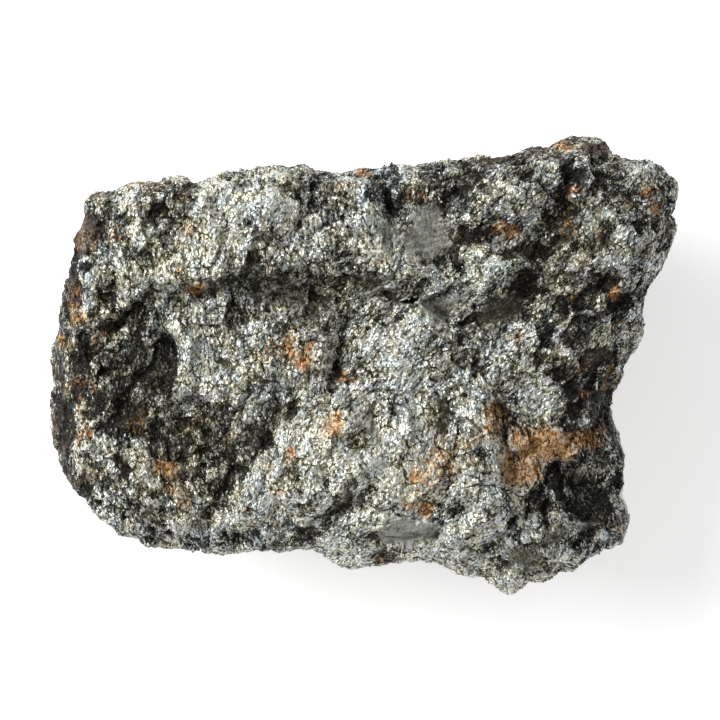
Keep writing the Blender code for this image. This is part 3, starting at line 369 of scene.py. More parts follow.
RIND_PATCHES = {
    0.3: ((51.5, 29, 1, 2),),
    0.4: ((-51, -6, 0.8, 3), (-50.5, -16, 1, 2), (-47, -22.8, 1.2, 0.5), (-49.8, 12, 0.6, 4)),
    0.5: ((-7.8, 31.8, 0.5, 0.8),),
    0.6: ((-43.5, 28.2, 1.8, 0.6), (-28.5, 30.2, 1.3, 1), (29, 36, 3, 0.8), (50.8, 22.5, 0.7, 2.5)),
    0.9: ((39, 36, 3, 1.4), (21.5, 34.2, 3.5, 0.5, 8), (-51.7, -11, 0.8, 2.2)),
    1: ((-46.6, 22, 2.2, 4, 8),),
}
SLATE_PATCHES = {
    0.4: ((-1, -8.8, 1, 1.2), (38.5, 24.3, 2.2, 1.2, 10)),
    0.5: ((-0.5, 22, 1.5, 1), (-6.5, -2.9, 3, 0.7, -12), (43.4, -26, 0.8, 3)),
    0.6: ((15, 21.8, 1.6, 2, 30), (37, -26.5, 3, 0.6, 15), (30.5, -30.8, 2, 1, -10)),
    0.8: ((22.5, 9.5, 4.2, 2.2, 20), (0.5, -15.3, 3.4, 0.8, -8), (1.9, -11.3, 3.6, 1.2, -65),
        (31.5, -28.2, 4.5, 0.9, 17)),
    0.9: ((12.4, 23.6, 2.6, 2.8, 40), (13.5, 10.4, 3.5, 2.2, 10), (26.5, -31.5, 3.4, 2, -22)),
    1: ((9.3, 20.7, 5.4, 3.1, 15), (7.5, -27.1, 5, 1.4, 3)),
}
COOL_PATCHES = {
    0.3: ((9.5, 21.5, 4.5, 3.6, 15), (47, 22, 3, 8, -10)),
    0.4: ((2.5, 29.5, 4, 3, 40), (14.5, 27.5, 3, 2.5), (37, -15.5, 2.5, 1.5)),
    0.5: ((-47.3, 15.5, 1.8, 2.2), (-24.5, -29, 5, 1.8), (-41.5, -10.3, 2.5, 1),
        (-36.5, -23.5, 1, 1.5, -45), (-34.5, -21.5, 2, 0.8, -15)),
    0.6: ((23.5, -6, 1.8, 1, -15), (-33.5, -27.5, 1.8, 2, -30), (-24.8, -25, 0.8, 2),
        (13, -26.2, 1.8, 0.9, 10)),
    0.8: ((8, 1.5, 1.8, 1.5),),
}
WARM_PATCHES = {
    0.3: ((-36, -22, 6, 4),),
    0.4: ((-30, -12, 12), (-26, 20, 6, 5), (0, -18, 16, 8), (-34, 21, 5, 6), (-12, 4, 6, 4)),
    0.5: ((-8, 11, 14, 4),),
    0.6: ((-22, -24, 5, 4),),
}

# The crystals that the grains are picked from: how many kinds, and half their size along each axis,
# which are scaled between two sets of factors.
CRYSTAL_KINDS = 8
CRYSTAL_SEED = 8
CRYSTAL_HALF = (0.56, 0.31, 0.22)
CRYSTAL_SCALES = ((0.7, 0.75, 0.7), (1.4, 1.3, 1.2))

# The loose grains, layer by layer: the piece, where they stand, the smallest and largest in millimetres,
# how far they lean in degrees, and how deep they sink as a share of their size. They swing to either
# side of their long way, and roll round it so many times as far as they lean.
GRAIN_LAYERS = (
    ("face_grains", "on_top", 0.35, 1.0, 12, 0.14),
    ("face_crumbs", "on_top", 0.25, 0.6, 16, 0.11),
    ("face_flecks", "on_bright", 0.25, 0.7, 12, 0.10),
    ("side_grains", "on_sides", 0.6, 1.6, 8, 0.17),
)
GRAIN_SWING = 50
ROLL = 1.6

# The colours of dark, middling and bright grains, from the coolest to the warmest. The warmest bright
# one is the Silver setting. Then how the mottles tint a grain, from the coolest to the warmest.
DARK_TINTS = ((0.004, 0.005, 0.0055), (0.011, 0.009, 0.005))
MIDDLE_TINTS = ((0.135, 0.142, 0.135), (0.185, 0.170, 0.115))
COOL_BRIGHT = (0.85, 0.871, 0.855)
COOL_TINT = (0.93, 1.0, 1.06)
WARM_TINT = (1.17, 1.035, 0.68)

# How much longer than wide the cells of the finish are, and how much of a grain's tone comes from its
# large cell or its own number, the rest being from the fine cells.
CELL_STRETCH = 2.1
OWN_TONE = 0.41

# The darker colours of slate, and how long and wide its streaks are in millimetres.
SLATE_TINTS = ((0.018, 0.017, 0.012), (0.115, 0.114, 0.092))
STREAK_SIZE = (2.6, 0.75, 1.0)

# Ranges over which a thing sets in and is full: a bright grain by its tone with the painted light and
# shade, the gap round a grain by the distance from its middle, a hairline crack by the distance from it and
# by the noise that breaks it up, the warm mottles by their noise, and rust by its share.
BRIGHT_RANGE = (0.71, 1.42)
GAP_RANGE = (0.42, 0.80)
CRACK_RANGE = (0.008, 0.05)
CRACKED_RANGE = (0.44, 0.58)
MOTTLE_RANGE = (0.40, 0.72)
RUST_RANGE = (0.60, 1.12)

# The weathered finishes: the shares at which they set in and are full, how much they cover, the values
# between which they turn from dark to middling and from there to pale, and the dark and pale colours. The
# olive finish also colours painted shade below the ledges and in the valleys.
WEATHERING = {
    "olive": ((0.45, 0.95), 0.75, (0.1, 0.55), (0.45, 1.05), (0.015, 0.014, 0.008), (0.34, 0.32, 0.23)),
    "rind": ((0.5, 1.0), 0.85, (0.1, 0.6), (0.55, 1.1), (0.022, 0.015, 0.012), (0.23, 0.19, 0.165)),
}

# Rust from its darkest crumbs to its palest, with the Rust setting between, and how its hue changes.
DARK_RUST = ((0.10, (0.050, 0.022, 0.007)), (0.42, (0.24, 0.108, 0.034)))
RUST_PLACE = 0.75
PALE_RUST = (1.0, (0.80, 0.54, 0.29))
RUST_HUES = ((1.0, 0.80, 0.6), (0.92, 1.10, 1.30))

# The stage in metres: the window's place and size, the height of the broken face's rim, the camera's
# place, and the nearest and furthest that it sees.
WHITE = (1, 1, 1, 1)
PAPER = {
    "Base Color": (0.92, 0.92, 0.92, 1), "Roughness": 0.9, "Specular IOR Level": 0.1,
    "Emission Color": WHITE,
}
WINDOW_PLACE = (-0.80, 0.38, 0.66)
WINDOW_SIZE = (0.9, 0.8)
RIM_HEIGHT = 29 * MM
CAMERA_PLACE = (-0.455 * MM, 0.87 * MM)
CAMERA_REACH = (0.05, 10)


class OreSettings(bpy.types.PropertyGroup):
    """The colours and sizes of the ore that a user would change."""

    silver: FloatVectorProperty(
        name="Silver", description="Colour of a fresh bright grain", subtype="COLOR",
        default=(0.92, 0.90, 0.80),
    )
    rust: FloatVectorProperty(
        name="Rust", description="Colour of a strong rust stain", subtype="COLOR",
        default=(0.57, 0.29, 0.09),
    )
    # Olive also colours the painted shade below the ledges and in the valleys.
    olive: FloatVectorProperty(
        name="Olive", description="Colour of the weathered hollows", subtype="COLOR",
        default=(0.085, 0.078, 0.050),
    )
    rind: FloatVectorProperty(
        name="Rind", description="Colour of the weathered rim", subtype="COLOR",
        default=(0.090, 0.058, 0.045),
    )
    slate: FloatVectorProperty(
        name="Slate", description="Colour of the smooth slaty faces", subtype="COLOR",
        default=(0.29, 0.30, 0.265),
    )
    grain_size: FloatProperty(
        name="Grain size", description="Width of a metallic grain", subtype="DISTANCE", unit="LENGTH",
        default=0.35 * MM, min=0.1 * MM, max=3 * MM,
    )
    grain_count: IntProperty(
        name="Grain count", description="Number of grains in each layer", default=20000, min=10
    )


class StageSettings(bpy.types.PropertyGroup):
    """The floor, the light and the camera."""

    floor_width: FloatProperty(
        name="Floor width", description="Side of the square floor", subtype="DISTANCE", unit="LENGTH",
        default=1.6,
    )
    view_width: FloatProperty(
        name="View width", description="Width of the picture at the rim of the broken face",
        subtype="DISTANCE", unit="LENGTH", default=120.03 * MM,
    )
    view_height: FloatProperty(
        name="Camera height", description="Height of the camera above the floor",
        subtype="DISTANCE", unit="LENGTH", default=1.0,
    )
    key_power: FloatProperty(
        name="Key power", description="Power of the window light", subtype="POWER", default=15.5
    )
    sky_strength: FloatProperty(name="Sky strength", description="Strength of the even light", default=0.33)
    paper_glow: FloatProperty(
        name="Paper glow", description="How much the white paper glows", default=0.55
    )


class Value:
    """A node's output that Python's operators do maths on, by adding Math nodes."""

    def __init__(self, nodes, socket):
        self.nodes = nodes
        self.socket = socket

    def __add__(self, other):
        return self.nodes.math("ADD", self, other)

    def __sub__(self, other):
        return self.nodes.math("SUBTRACT", self, other)

    def __rsub__(self, other):
        return self.nodes.math("SUBTRACT", other, self)

    def __mul__(self, other):
        return self.nodes.math("MULTIPLY", self, other)

    def __pow__(self, other):
        return self.nodes.math("POWER", self, other)

    __radd__ = __add__
    __rmul__ = __mul__


class Nodes:
    """A node tree, with one way to add any node."""

    def __init__(self, tree):
        self.tree = tree

    def add(self, kind, settings=None, sockets=None):
        """A new node of that type, with its settings made first and then its sockets' values or links."""
        node = self.tree.nodes.new(kind)
        for name, value in (settings or {}).items():
            if name == "stops":
                self.set_stops(node.color_ramp, value)
            else:
                setattr(node, name, value)
        for name, value in (sockets or {}).items():
            self.put(node.inputs[name], value)
        return node

    def put(self, socket, value):
        if isinstance(value, Value):
            self.tree.links.new(value.socket, socket)
        else:
            socket.default_value = value

    def set_stops(self, ramp, stops):
        while len(ramp.elements) < len(stops):
            ramp.elements.new(1.0)
        for element, (place, colour) in zip(ramp.elements, stops):
            element.position = place
            element.color = (*colour, 1.0)

    def out(self, node, name=0):
        return Value(self, node.outputs[name])

    def math(self, operation, *values):
        return self.out(self.add("ShaderNodeMath", {"operation": operation}, dict(enumerate(values))))

    def vector(self, operation, *values):
        return self.out(self.add("ShaderNodeVectorMath", {"operation": operation}, dict(enumerate(values))))

    def scaled(self, vector, scale):
        sockets = {0: vector, "Scale": scale}
        return self.out(self.add("ShaderNodeVectorMath", {"operation": "SCALE"}, sockets))

    def between(self, value, low, high):
        """0 below low, 1 above high and smooth between them."""
        ease = {"interpolation_type": "SMOOTHSTEP"}
        sockets = {"Value": value, "From Min": low, "From Max": high}
        return self.out(self.add("ShaderNodeMapRange", ease, sockets))

    def mixed(self, share, first, second, kind="RGBA"):
        """A colour between two colours, or a number or a vector between two of those."""
        if kind == "RGBA":
            first, second = (end if isinstance(end, Value) else (*end, 1.0) for end in (first, second))
        place = {"FLOAT": 2, "VECTOR": 4, "RGBA": 6}[kind]
        node = self.add("ShaderNodeMix", {"data_type": kind}, {0: share, place: first, place + 1: second})
        return self.out(node, place // 2 - 1)

    def toned(self, value, lower, upper, dark, middle, pale):
        """A colour that goes from dark to middling over the lower range and on to pale over the upper."""
        tone = self.mixed(self.between(value, *lower), dark, middle)
        return self.mixed(self.between(value, *upper), tone, pale)

    def mapped(self, place, location, rotation, scale):
        """A place in a texture that is moved, turned and scaled by so much."""
        sockets = {"Vector": place, "Location": location, "Rotation": rotation, "Scale": scale}
        return self.out(self.add("ShaderNodeMapping", {"vector_type": "TEXTURE"}, sockets))

    def noise(self, place, scale, detail, output=0):
        sockets = {"Vector": place, "Scale": scale, "Detail": detail}
        return self.out(self.add("ShaderNodeTexNoise", None, sockets), output)

    def attribute(self, name):
        return self.out(self.add("ShaderNodeAttribute", {"attribute_name": name}), "Fac")

    def stored(self, name):
        """A mesh's named attribute, in Geometry Nodes."""
        return self.out(self.add("GeometryNodeInputNamedAttribute", {"data_type": "FLOAT"}, {"Name": name}))

    def axes(self, **sockets):
        """A vector from numbers for X, Y and Z."""
        return self.out(self.add("ShaderNodeCombineXYZ", None, sockets))

    def chance(self, seed):
        """A random number from 0 to 1 for each grain."""
        return self.out(self.add("FunctionNodeRandomValue", {"data_type": "FLOAT"}, {"Seed": seed}), 1)

    def random_vector(self, low, high, seed):
        kind = {"data_type": "FLOAT_VECTOR"}
        return self.out(self.add("FunctionNodeRandomValue", kind, {0: low, 1: high, "Seed": seed}))


def hashed(cells, seed):
    """A number from 0 to 1 for each row of whole numbers, always the same for the same seed."""
    cell = cells.astype(np.int64).astype(np.uint32)
    mixed = np.uint32(seed * 0x9E3779B1 & 0xFFFFFFFF)
    for axis, factor in enumerate((0x8DA6B343, 0xD8163841, 0xCB1AB31F)):
        mixed = mixed ^ cell[:, axis] * np.uint32(factor)
    for shift, factor in ((15, 0x2C1B3C6D), (12, 0x297A2D39), (15, 0x7FEB352D)):
        mixed ^= mixed >> np.uint32(shift)
        mixed *= np.uint32(factor)
    return mixed / 2.0**32


def hashed_vectors(cells, seed):
    return np.stack([hashed(cells, seed + axis) for axis in range(3)], axis=1)


def soft_noise(points, size, seed):
    """Smooth noise from -1 to 1 that changes over about that size."""
    scaled = points / size
    corner = np.floor(scaled)
    part = scaled - corner
    ease = part * part * (3 - 2 * part)
    total = np.zeros(len(points))
    for step in np.ndindex(2, 2, 2):
        share = np.where(np.array(step) == 1, ease, 1 - ease).prod(axis=1)
        total += share * (hashed(corner + np.array(step), seed) * 2 - 1)
    return total


def drift_of(points, size, seed):
    """A sideways move for each point, which makes straight borders wander."""
    return np.stack([soft_noise(points, size, seed), soft_noise(points, size, seed + 1)], axis=1)


def turned_and_scaled(degrees, scale):
    """A matrix for rows of points: it turns them back by an angle round Z and then scales them."""
    return np.array(Matrix.Rotation(math.radians(-degrees), 3, "Z")).T @ np.diag(scale)


def ways_of(points):
    """Which way the grains run at each point: that of the nearest place, with a wandering border."""
    size, reach = WAY_DRIFT
    drift = drift_of(points, size, WAY_SEED) * reach
    nearest = np.full(len(points), np.inf)
    ways = np.zeros(len(points), int)
    for x, y, way in WAY_PLACES:
        distance = np.hypot(points[:, 0] + drift[:, 0] - x, points[:, 1] + drift[:, 1] - y)
        ways = np.where(distance < nearest, way, ways)
        nearest = np.minimum(distance, nearest)
    return ways


class Shards:
    """A Voronoi pattern of long cells: for each point its cell's centre, a number, a face and the crack."""

    def __init__(self, points, ways, size, seed):
        # Turned, squeezed and moved points, in which the long cells are round and one wide.
        squeezes = [turned_and_scaled(turn, [1 / (size * STRETCH), 1 / size, 1 / size]) for turn in WAYS]
        scaled = np.empty_like(points)
        for way, squeeze in enumerate(squeezes):
            scaled[ways == way] = points[ways == way] @ squeeze + WAYS_APART * way
        corner = np.floor(scaled)
        nearest = np.full(len(points), np.inf)
        second = np.full(len(points), np.inf)
        found = corner.copy()
        for step in np.ndindex(3, 3, 3):
            cell = corner + np.array(step) - 1
            distance = ((scaled - (cell + hashed_vectors(cell, seed))) ** 2).sum(axis=1)
            second = np.minimum(second, np.maximum(distance, nearest))
            found[distance < nearest] = cell[distance < nearest]
            nearest = np.minimum(distance, nearest)
        middle = found + hashed_vectors(found, seed)
        tilt = hashed_vectors(found, seed + 3) * 2 - 1
        self.number = hashed(found, seed + 6)
        self.height = ((scaled - middle) * tilt).sum(axis=1) + self.number - 0.5
        self.crack = np.clip(1 - (np.sqrt(second) - np.sqrt(nearest)) / CRACK_WIDTH, 0, 1)
        self.centre = np.empty_like(points)
        for way, squeeze in enumerate(squeezes):
            mine = ways == way
            self.centre[mine] = (middle[mine] - WAYS_APART * way) @ np.linalg.inv(squeeze)


def inside_patch(points, drift, edge, x, y, half_length, half_width=None, turn=0):
    """How far inside an oval each point is, from 0 outside its soft edge to 1. A wide one wanders more."""
    half_width = half_width or half_length
    loose = min(0.5 + 0.4 * half_width, 1.8)
    dx, dy = (points[:, :2] + drift * loose - (x, y)).T
    angle = math.radians(turn)
    along = (dx * math.cos(angle) + dy * math.sin(angle)) / half_length
    across = (dy * math.cos(angle) - dx * math.sin(angle)) / half_width
    inside = np.clip((1 + edge - np.hypot(along, across)) / (2 * edge), 0, 1)
    return inside * inside * (3 - 2 * inside)


def patch_shares(points, patches, edge=0.45, wander=1.1, join=np.maximum):
    """The strength of the strongest patch at each point, or their sum, with wandering soft edges."""
    drift = 0
    for number, (size, share) in enumerate(EDGE_DRIFTS):
        drift = drift + drift_of(points, size, EDGE_SEED + 2 * number) * wander * share
    shares = np.zeros(len(points))
    for strength, places in patches.items():
        for place in places:
            shares = join(shares, strength * inside_patch(points, drift, edge, *place))
    return shares


def slate_share(points, shard):
    """The share of smooth slate, whose edges follow the shards."""
    return patch_shares(0.4 * points + 0.6 * shard.centre, SLATE_PATCHES, edge=0.42, wander=1.3)


def read_vectors(source, name):
    values = np.empty(len(source) * 3, np.float32)
    source.foreach_get(name, values)
    return values.reshape(-1, 3).astype(float)


def write_points(mesh, points):
    mesh.vertices.foreach_set("co", points.astype(np.float32).ravel())
    mesh.update()


def write_attribute(mesh, name, values):
    mesh.attributes.new(name, "FLOAT", "POINT").data.foreach_set("value", values.astype(np.float32))


def mesh_from(bm, name):
    """A mesh made from a BMesh, which is freed."""
    mesh = bpy.data.meshes.new(name)
    bm.to_mesh(mesh)
    bm.free()
    return mesh


def fine_copy_of_the_solid():
    """The solid's mesh with its doubles merged and its triangles divided, finer on the broken face."""
    bm = bmesh.new()
    bm.from_mesh(bpy.data.objects[NODE].data)
    bmesh.ops.remove_doubles(bm, verts=bm.verts, dist=MM / 1000)
    low, high = [], []
    for edge in bm.edges:
        on_top = min(vert.co.z for vert in edge.verts) > TOP_STARTS * MM
        (high if on_top else low).append(edge)
    bmesh.ops.subdivide_edges(bm, edges=low, cuts=SIDE_CUTS, use_grid_fill=True)
    high = [edge for edge in high if edge.is_valid]
    bmesh.ops.subdivide_edges(bm, edges=high, cuts=TOP_CUTS, use_grid_fill=True)
    bmesh.ops.triangulate(bm, faces=bm.faces)
    return mesh_from(bm, "ore_body")


def smoothed(mesh, rounds):
    """The mesh's points, each drawn halfway towards the mean of its neighbours, a few times."""
    ends = np.empty(len(mesh.edges) * 2, np.int32)
    mesh.edges.foreach_get("vertices", ends)
    first, second = ends[::2], ends[1::2]
    points = read_vectors(mesh.vertices, "co")
    count = np.bincount(ends, minlength=len(points))[:, None]
    for _ in range(rounds):
        total = np.zeros_like(points)
        for axis in range(3):
            total[:, axis] = np.bincount(first, points[second, axis], len(points))
            total[:, axis] += np.bincount(second, points[first, axis], len(points))
        points = points + 0.5 * (total / count - points)
    return points


def finishes_of(points, normals, clump, shard, chip, hollow):
    """The share of each finish at each point, and the light share with its painted light and shade: the
    drawn patches on top, and mottles elsewhere.
    """
    # The broken face begins between 16 and 26 mm up, where the surface doesn't look down.
    height = points[:, 2]
    top = np.clip((height - 16) / 10, 0, 1) * np.clip(normals[:, 2] * 2.2 + 0.6, 0, 1)
    rest = 1 - top
    mottles = {"clump": clump.number - 0.5, "shard": shard.number - 0.5}
    for number, name in enumerate(("broad", "middle", "small")):
        mottles[name] = soft_noise(points, MOTTLE_SIZES[number], MOTTLE_SEED + number)

    def mottled(level, **amounts):
        """A level that so much of each mottle is added to."""
        return level + sum(amount * mottles[name] for name, amount in amounts.items())

    def drawn(patches, edge=0.45, wander=0.5):
        """Patches whose edges follow the facets of two sizes."""
        return sum(0.5 * patch_shares(cells.centre, patches, edge, wander) for cells in (shard, chip))

    # The face's light share: the grains' tone, with painted light and painted shade from the pale, dark and
    # swelling patches.
    light = mottled(LIGHT_LEVEL, middle=0.06, clump=0.07, shard=0.12)
    light += LIGHTER * drawn(PALE_AND_LIT_PATCHES) - DARKER * drawn(DARK_AND_SHADED_PATCHES)
    light += patch_shares(points, PAINTED_LIGHT_AND_SHADE, edge=0.8, join=np.add)
    side_light = mottled(SIDE_LEVEL, broad=0.14, middle=0.14, small=0.08, clump=0.20)
    slate = slate_share(points, shard)
    crack = CRACK_SHADE * np.maximum(clump.crack, shard.crack) * (1 - slate)
    # Painted shade in hollows and cracks, and painted light on ridges.
    light = np.clip(light * top + side_light * rest - hollow - crack, DARKEST, 1)
    rust = drawn(RUST_PATCHES, edge=0.7, wander=0.9)
    side_rust = np.clip(mottled(-0.35, broad=1.2, middle=0.9), 0, 1)
    olive = np.clip(drawn(OLIVE_AND_SHADED_PATCHES) + 0.5 * hollow, 0, 1)
    side_olive = np.clip(mottled(0.15, middle=-1, small=0.3), 0, 0.5)
    rind = patch_shares(points, RIND_PATCHES, edge=0.4, wander=0.7) * np.clip(height / 20, 0, 1)
    side_rind = np.clip(mottled(0.2, broad=-0.5, middle=0.5, small=0.3), 0, 0.7)
    warm = mottled(0.5, broad=0.2, middle=0.25, clump=0.35)
    warm += 0.5 * drawn(WARM_PATCHES) - 0.9 * drawn(COOL_PATCHES)
    on_top = top * (1 - 0.85 * slate)
    return {
        "light": light,
        "rust": rust * top + 0.5 * side_rust * rest,
        "olive": olive * top + side_olive * rest,
        "rind": np.maximum(rind, side_rind * rest),
        "slate": slate * top,
        "warm": np.clip(warm, 0, 1),
        "on_top": on_top,
        # The flecks stand where the light share, painted light included, is high.
        "on_bright": on_top * np.clip(light * 1.8 - 0.7, 0, 1),
        "on_sides": rest * np.clip((height - FLOOR_CLEARANCE) / 0.8, 0, 1),
    }


def ore_body_mesh():
    """The fine copy of the solid with its relief, which stops at the floor, and its finishes."""
    mesh = fine_copy_of_the_solid()
    rough = read_vectors(mesh.vertices, "co") / MM
    points = smoothed(mesh, 1) / MM
    points = np.where(rough[:, 2:] < FLOOR_CLEARANCE, rough, points)
    write_points(mesh, points * MM)
    normals = read_vectors(mesh.vertex_normals, "vector")
    ways = ways_of(points)
    shards = []
    relief = np.zeros(len(points))
    for number, (size, height, depth) in enumerate(FINE_BREAKS):
        shard = Shards(points, ways, size, FACET_SEED + 10 * number)
        relief += height * shard.height - depth * shard.crack
        shards.append(shard)
    slate = slate_share(points, shards[2])
    waves = soft_noise(points @ turned_and_scaled(SLATE_WAY, SLATE_WAVES), 1.0, SLATE_SEED)
    relief = relief * (1 - slate) + SLATE_RELIEF * waves * slate
    relief *= np.clip(points[:, 2] / FLOOR_CLEARANCE - 0.1, 0, 1)
    points = points + relief[:, None] * normals
    points[:, 2] = np.maximum(points[:, 2], 0)
    write_points(mesh, points * MM)
    hollow = np.zeros(len(points))
    for rounds, depth, share in HOLLOWS:
        sunk = ((smoothed(mesh, rounds) / MM - points) * normals).sum(axis=1)
        hollow += share * np.clip(sunk / depth, -1, 1)
    for name, share in finishes_of(points, normals, *shards[1:], hollow).items():
        write_attribute(mesh, name, share)
    for way in (1, 2):
        write_attribute(mesh, f"way_{way}", ways == way)
    write_attribute(mesh, "turn", np.radians(WAYS)[ways])
    mesh.shade_flat()
    return mesh


def crystal_collection():
    """A few small crystals with flat faces, each longest along X, for the grains to pick from."""
    collection = bpy.data.collections.new("crystals")
    random = np.random.default_rng(CRYSTAL_SEED)
    for number in range(CRYSTAL_KINDS):
        bm = bmesh.new()
        corners = random.normal(size=(6 + number % 2, 3))
        corners /= np.linalg.norm(corners, axis=1)[:, None]
        for corner in corners * CRYSTAL_HALF:
            bm.verts.new(corner)
        bmesh.ops.convex_hull(bm, input=bm.verts)
        bmesh.ops.recalc_face_normals(bm, faces=bm.faces)
        mesh = mesh_from(bm, f"crystal_{number}")
        collection.objects.link(bpy.data.objects.new(mesh.name, mesh))
    return collection


def grain_tree():
    """Scatters crystals over a mesh where a named share is high, each one turned, scaled and sunk in."""
    tree = bpy.data.node_groups.new("grains", "GeometryNodeTree")
    named = {"Ground": "Geometry", "Crystals": "Collection", "Finish": "Material", "Where": "String"}
    named.update(dict.fromkeys(("Density", "Smallest", "Largest", "Lean", "Swing", "Sink"), "Float"))
    named["Seed"] = "Int"
    for name, kind in named.items():
        tree.interface.new_socket(name, in_out="INPUT", socket_type="NodeSocket" + kind)
    tree.interface.new_socket("Grains", in_out="OUTPUT", socket_type="NodeSocketGeometry")
    nodes = Nodes(tree)
    given = nodes.add("NodeGroupInput")
    take = {name: nodes.out(given, name) for name in named}
    lean, swing, seed = take["Lean"], take["Swing"], take["Seed"]
    spread = nodes.add(
        "GeometryNodeDistributePointsOnFaces", {"distribute_method": "RANDOM"},
        {"Mesh": take["Ground"], "Density": take["Density"] * nodes.stored(take["Where"]), "Seed": seed},
    )
    turn = nodes.stored("turn")
    aligned = nodes.add(
        "FunctionNodeAlignRotationToVector", {"axis": "X", "pivot_axis": "Z"},
        {"Rotation": nodes.out(spread, "Rotation"),
         "Vector": nodes.axes(X=nodes.math("COSINE", turn), Y=nodes.math("SINE", turn))},
    )
    low = nodes.axes(X=lean * -ROLL, Y=lean * -1.0, Z=swing * -1.0)
    high = nodes.axes(X=lean * ROLL, Y=lean, Z=swing)
    tilt = nodes.add("FunctionNodeEulerToRotation", None, {0: nodes.random_vector(low, high, seed + 1)})
    turned = nodes.add(
        "FunctionNodeRotateRotation", {"rotation_space": "LOCAL"},
        {"Rotation": nodes.out(aligned), "Rotate By": nodes.out(tilt)},
    )
    size = take["Smallest"] + (take["Largest"] - take["Smallest"]) * nodes.chance(seed + 2) ** 2.0
    scale = nodes.scaled(nodes.random_vector(*CRYSTAL_SCALES, seed + 3), size)
    set_in = nodes.scaled(nodes.out(spread, "Normal"), size * take["Sink"] * -1.0)
    sunk = nodes.add(
        "GeometryNodeSetPosition", None, {"Geometry": nodes.out(spread, "Points"), "Offset": set_in}
    )
    choice = nodes.add(
        "GeometryNodeCollectionInfo", {"transform_space": "ORIGINAL"},
        {"Collection": take["Crystals"], "Separate Children": True, "Reset Children": True},
    )
    placed = nodes.add(
        "GeometryNodeInstanceOnPoints", None,
        {"Points": nodes.out(sunk), "Instance": nodes.out(choice), "Pick Instance": True,
         "Rotation": nodes.out(turned), "Scale": scale},
    )
    toned = nodes.add(
        "GeometryNodeStoreNamedAttribute", {"data_type": "FLOAT", "domain": "INSTANCE"},
        {"Geometry": nodes.out(placed), "Name": "tone", "Value": nodes.chance(seed + 4)},
    )
    real = nodes.add("GeometryNodeRealizeInstances", None, {"Geometry": nodes.out(toned)})
    done = nodes.add(
        "GeometryNodeSetMaterial", None, {"Geometry": nodes.out(real), "Material": take["Finish"]}
    )
    nodes.add("NodeGroupOutput", None, {"Grains": nodes.out(done)})
    return tree


def area_where(mesh, name):
    """The area of a mesh's faces in square metres, each times its share of a named attribute."""
    share = np.empty(len(mesh.vertices), np.float32)
    mesh.attributes[name].data.foreach_get("value", share)
    corners = np.empty(len(mesh.polygons) * 3, np.int32)
    mesh.polygons.foreach_get("vertices", corners)
    areas = np.empty(len(mesh.polygons), np.float32)
    mesh.polygons.foreach_get("area", areas)
    return float((areas * share[corners.reshape(-1, 3)].mean(axis=1)).sum())


def show_piece(name, mesh):
    piece = bpy.data.objects.new(name, mesh)
    bpy.context.scene.collection.objects.link(piece)
    return piece


def scatter_grains(layer, count, seed, finish, crystals, tree):
    """One piece of many grains: a modifier on a copy of the ore body, made into a plain mesh."""
    name, where, smallest, largest, lean, sink = layer
    ground = bpy.data.objects["ore_body"]
    holder = show_piece("holder", ground.data)
    modifier = holder.modifiers.new("grains", "NODES")
    modifier.node_group = tree
    values = {
        "Crystals": crystals, "Finish": finish, "Where": where, "Seed": seed, "Sink": sink,
        "Density": count / area_where(ground.data, where),
        "Smallest": smallest * MM, "Largest": largest * MM,
        "Lean": math.radians(lean), "Swing": math.radians(GRAIN_SWING),
    }
    for item in tree.interface.items_tree:
        if item.name in values:
            modifier[item.identifier] = values[item.name]
    graph = bpy.context.evaluated_depsgraph_get()
    mesh = bpy.data.meshes.new_from_object(holder.evaluated_get(graph))
    bpy.data.objects.remove(holder)
    mesh.name = name
    points = read_vectors(mesh.vertices, "co")
    points[:, 2] = np.maximum(points[:, 2], 0)
    write_points(mesh, points)
    return show_piece(name, mesh)


def new_material(name):
    """A material, its nodes and the sockets of its surface shader."""
    material = bpy.data.materials.new(name)
    material.use_nodes = True
    nodes = Nodes(material.node_tree)
    return material, nodes, nodes.tree.nodes["Principled BSDF"].inputs


def long_cells(nodes, place, size, seed):
    """Long Voronoi cells that run the same way as the grains: the node, and its random colour's parts."""
    vector = None
    for number, turn in enumerate(WAYS):
        turned = (0, 0, math.radians(turn))
        mapped = nodes.mapped(place, (seed, 3.0 * seed, number), turned, (size * CELL_STRETCH, size, size))
        if vector is None:
            vector = mapped
        else:
            share = nodes.math("GREATER_THAN", nodes.attribute(f"way_{number}"), 0.5)
            vector = nodes.mixed(share, vector, mapped, "VECTOR")
    cells = nodes.add("ShaderNodeTexVoronoi", None, {"Vector": vector, "Scale": 1.0})
    return cells, nodes.add("ShaderNodeSeparateColor", None, {"Color": nodes.out(cells, "Color")})


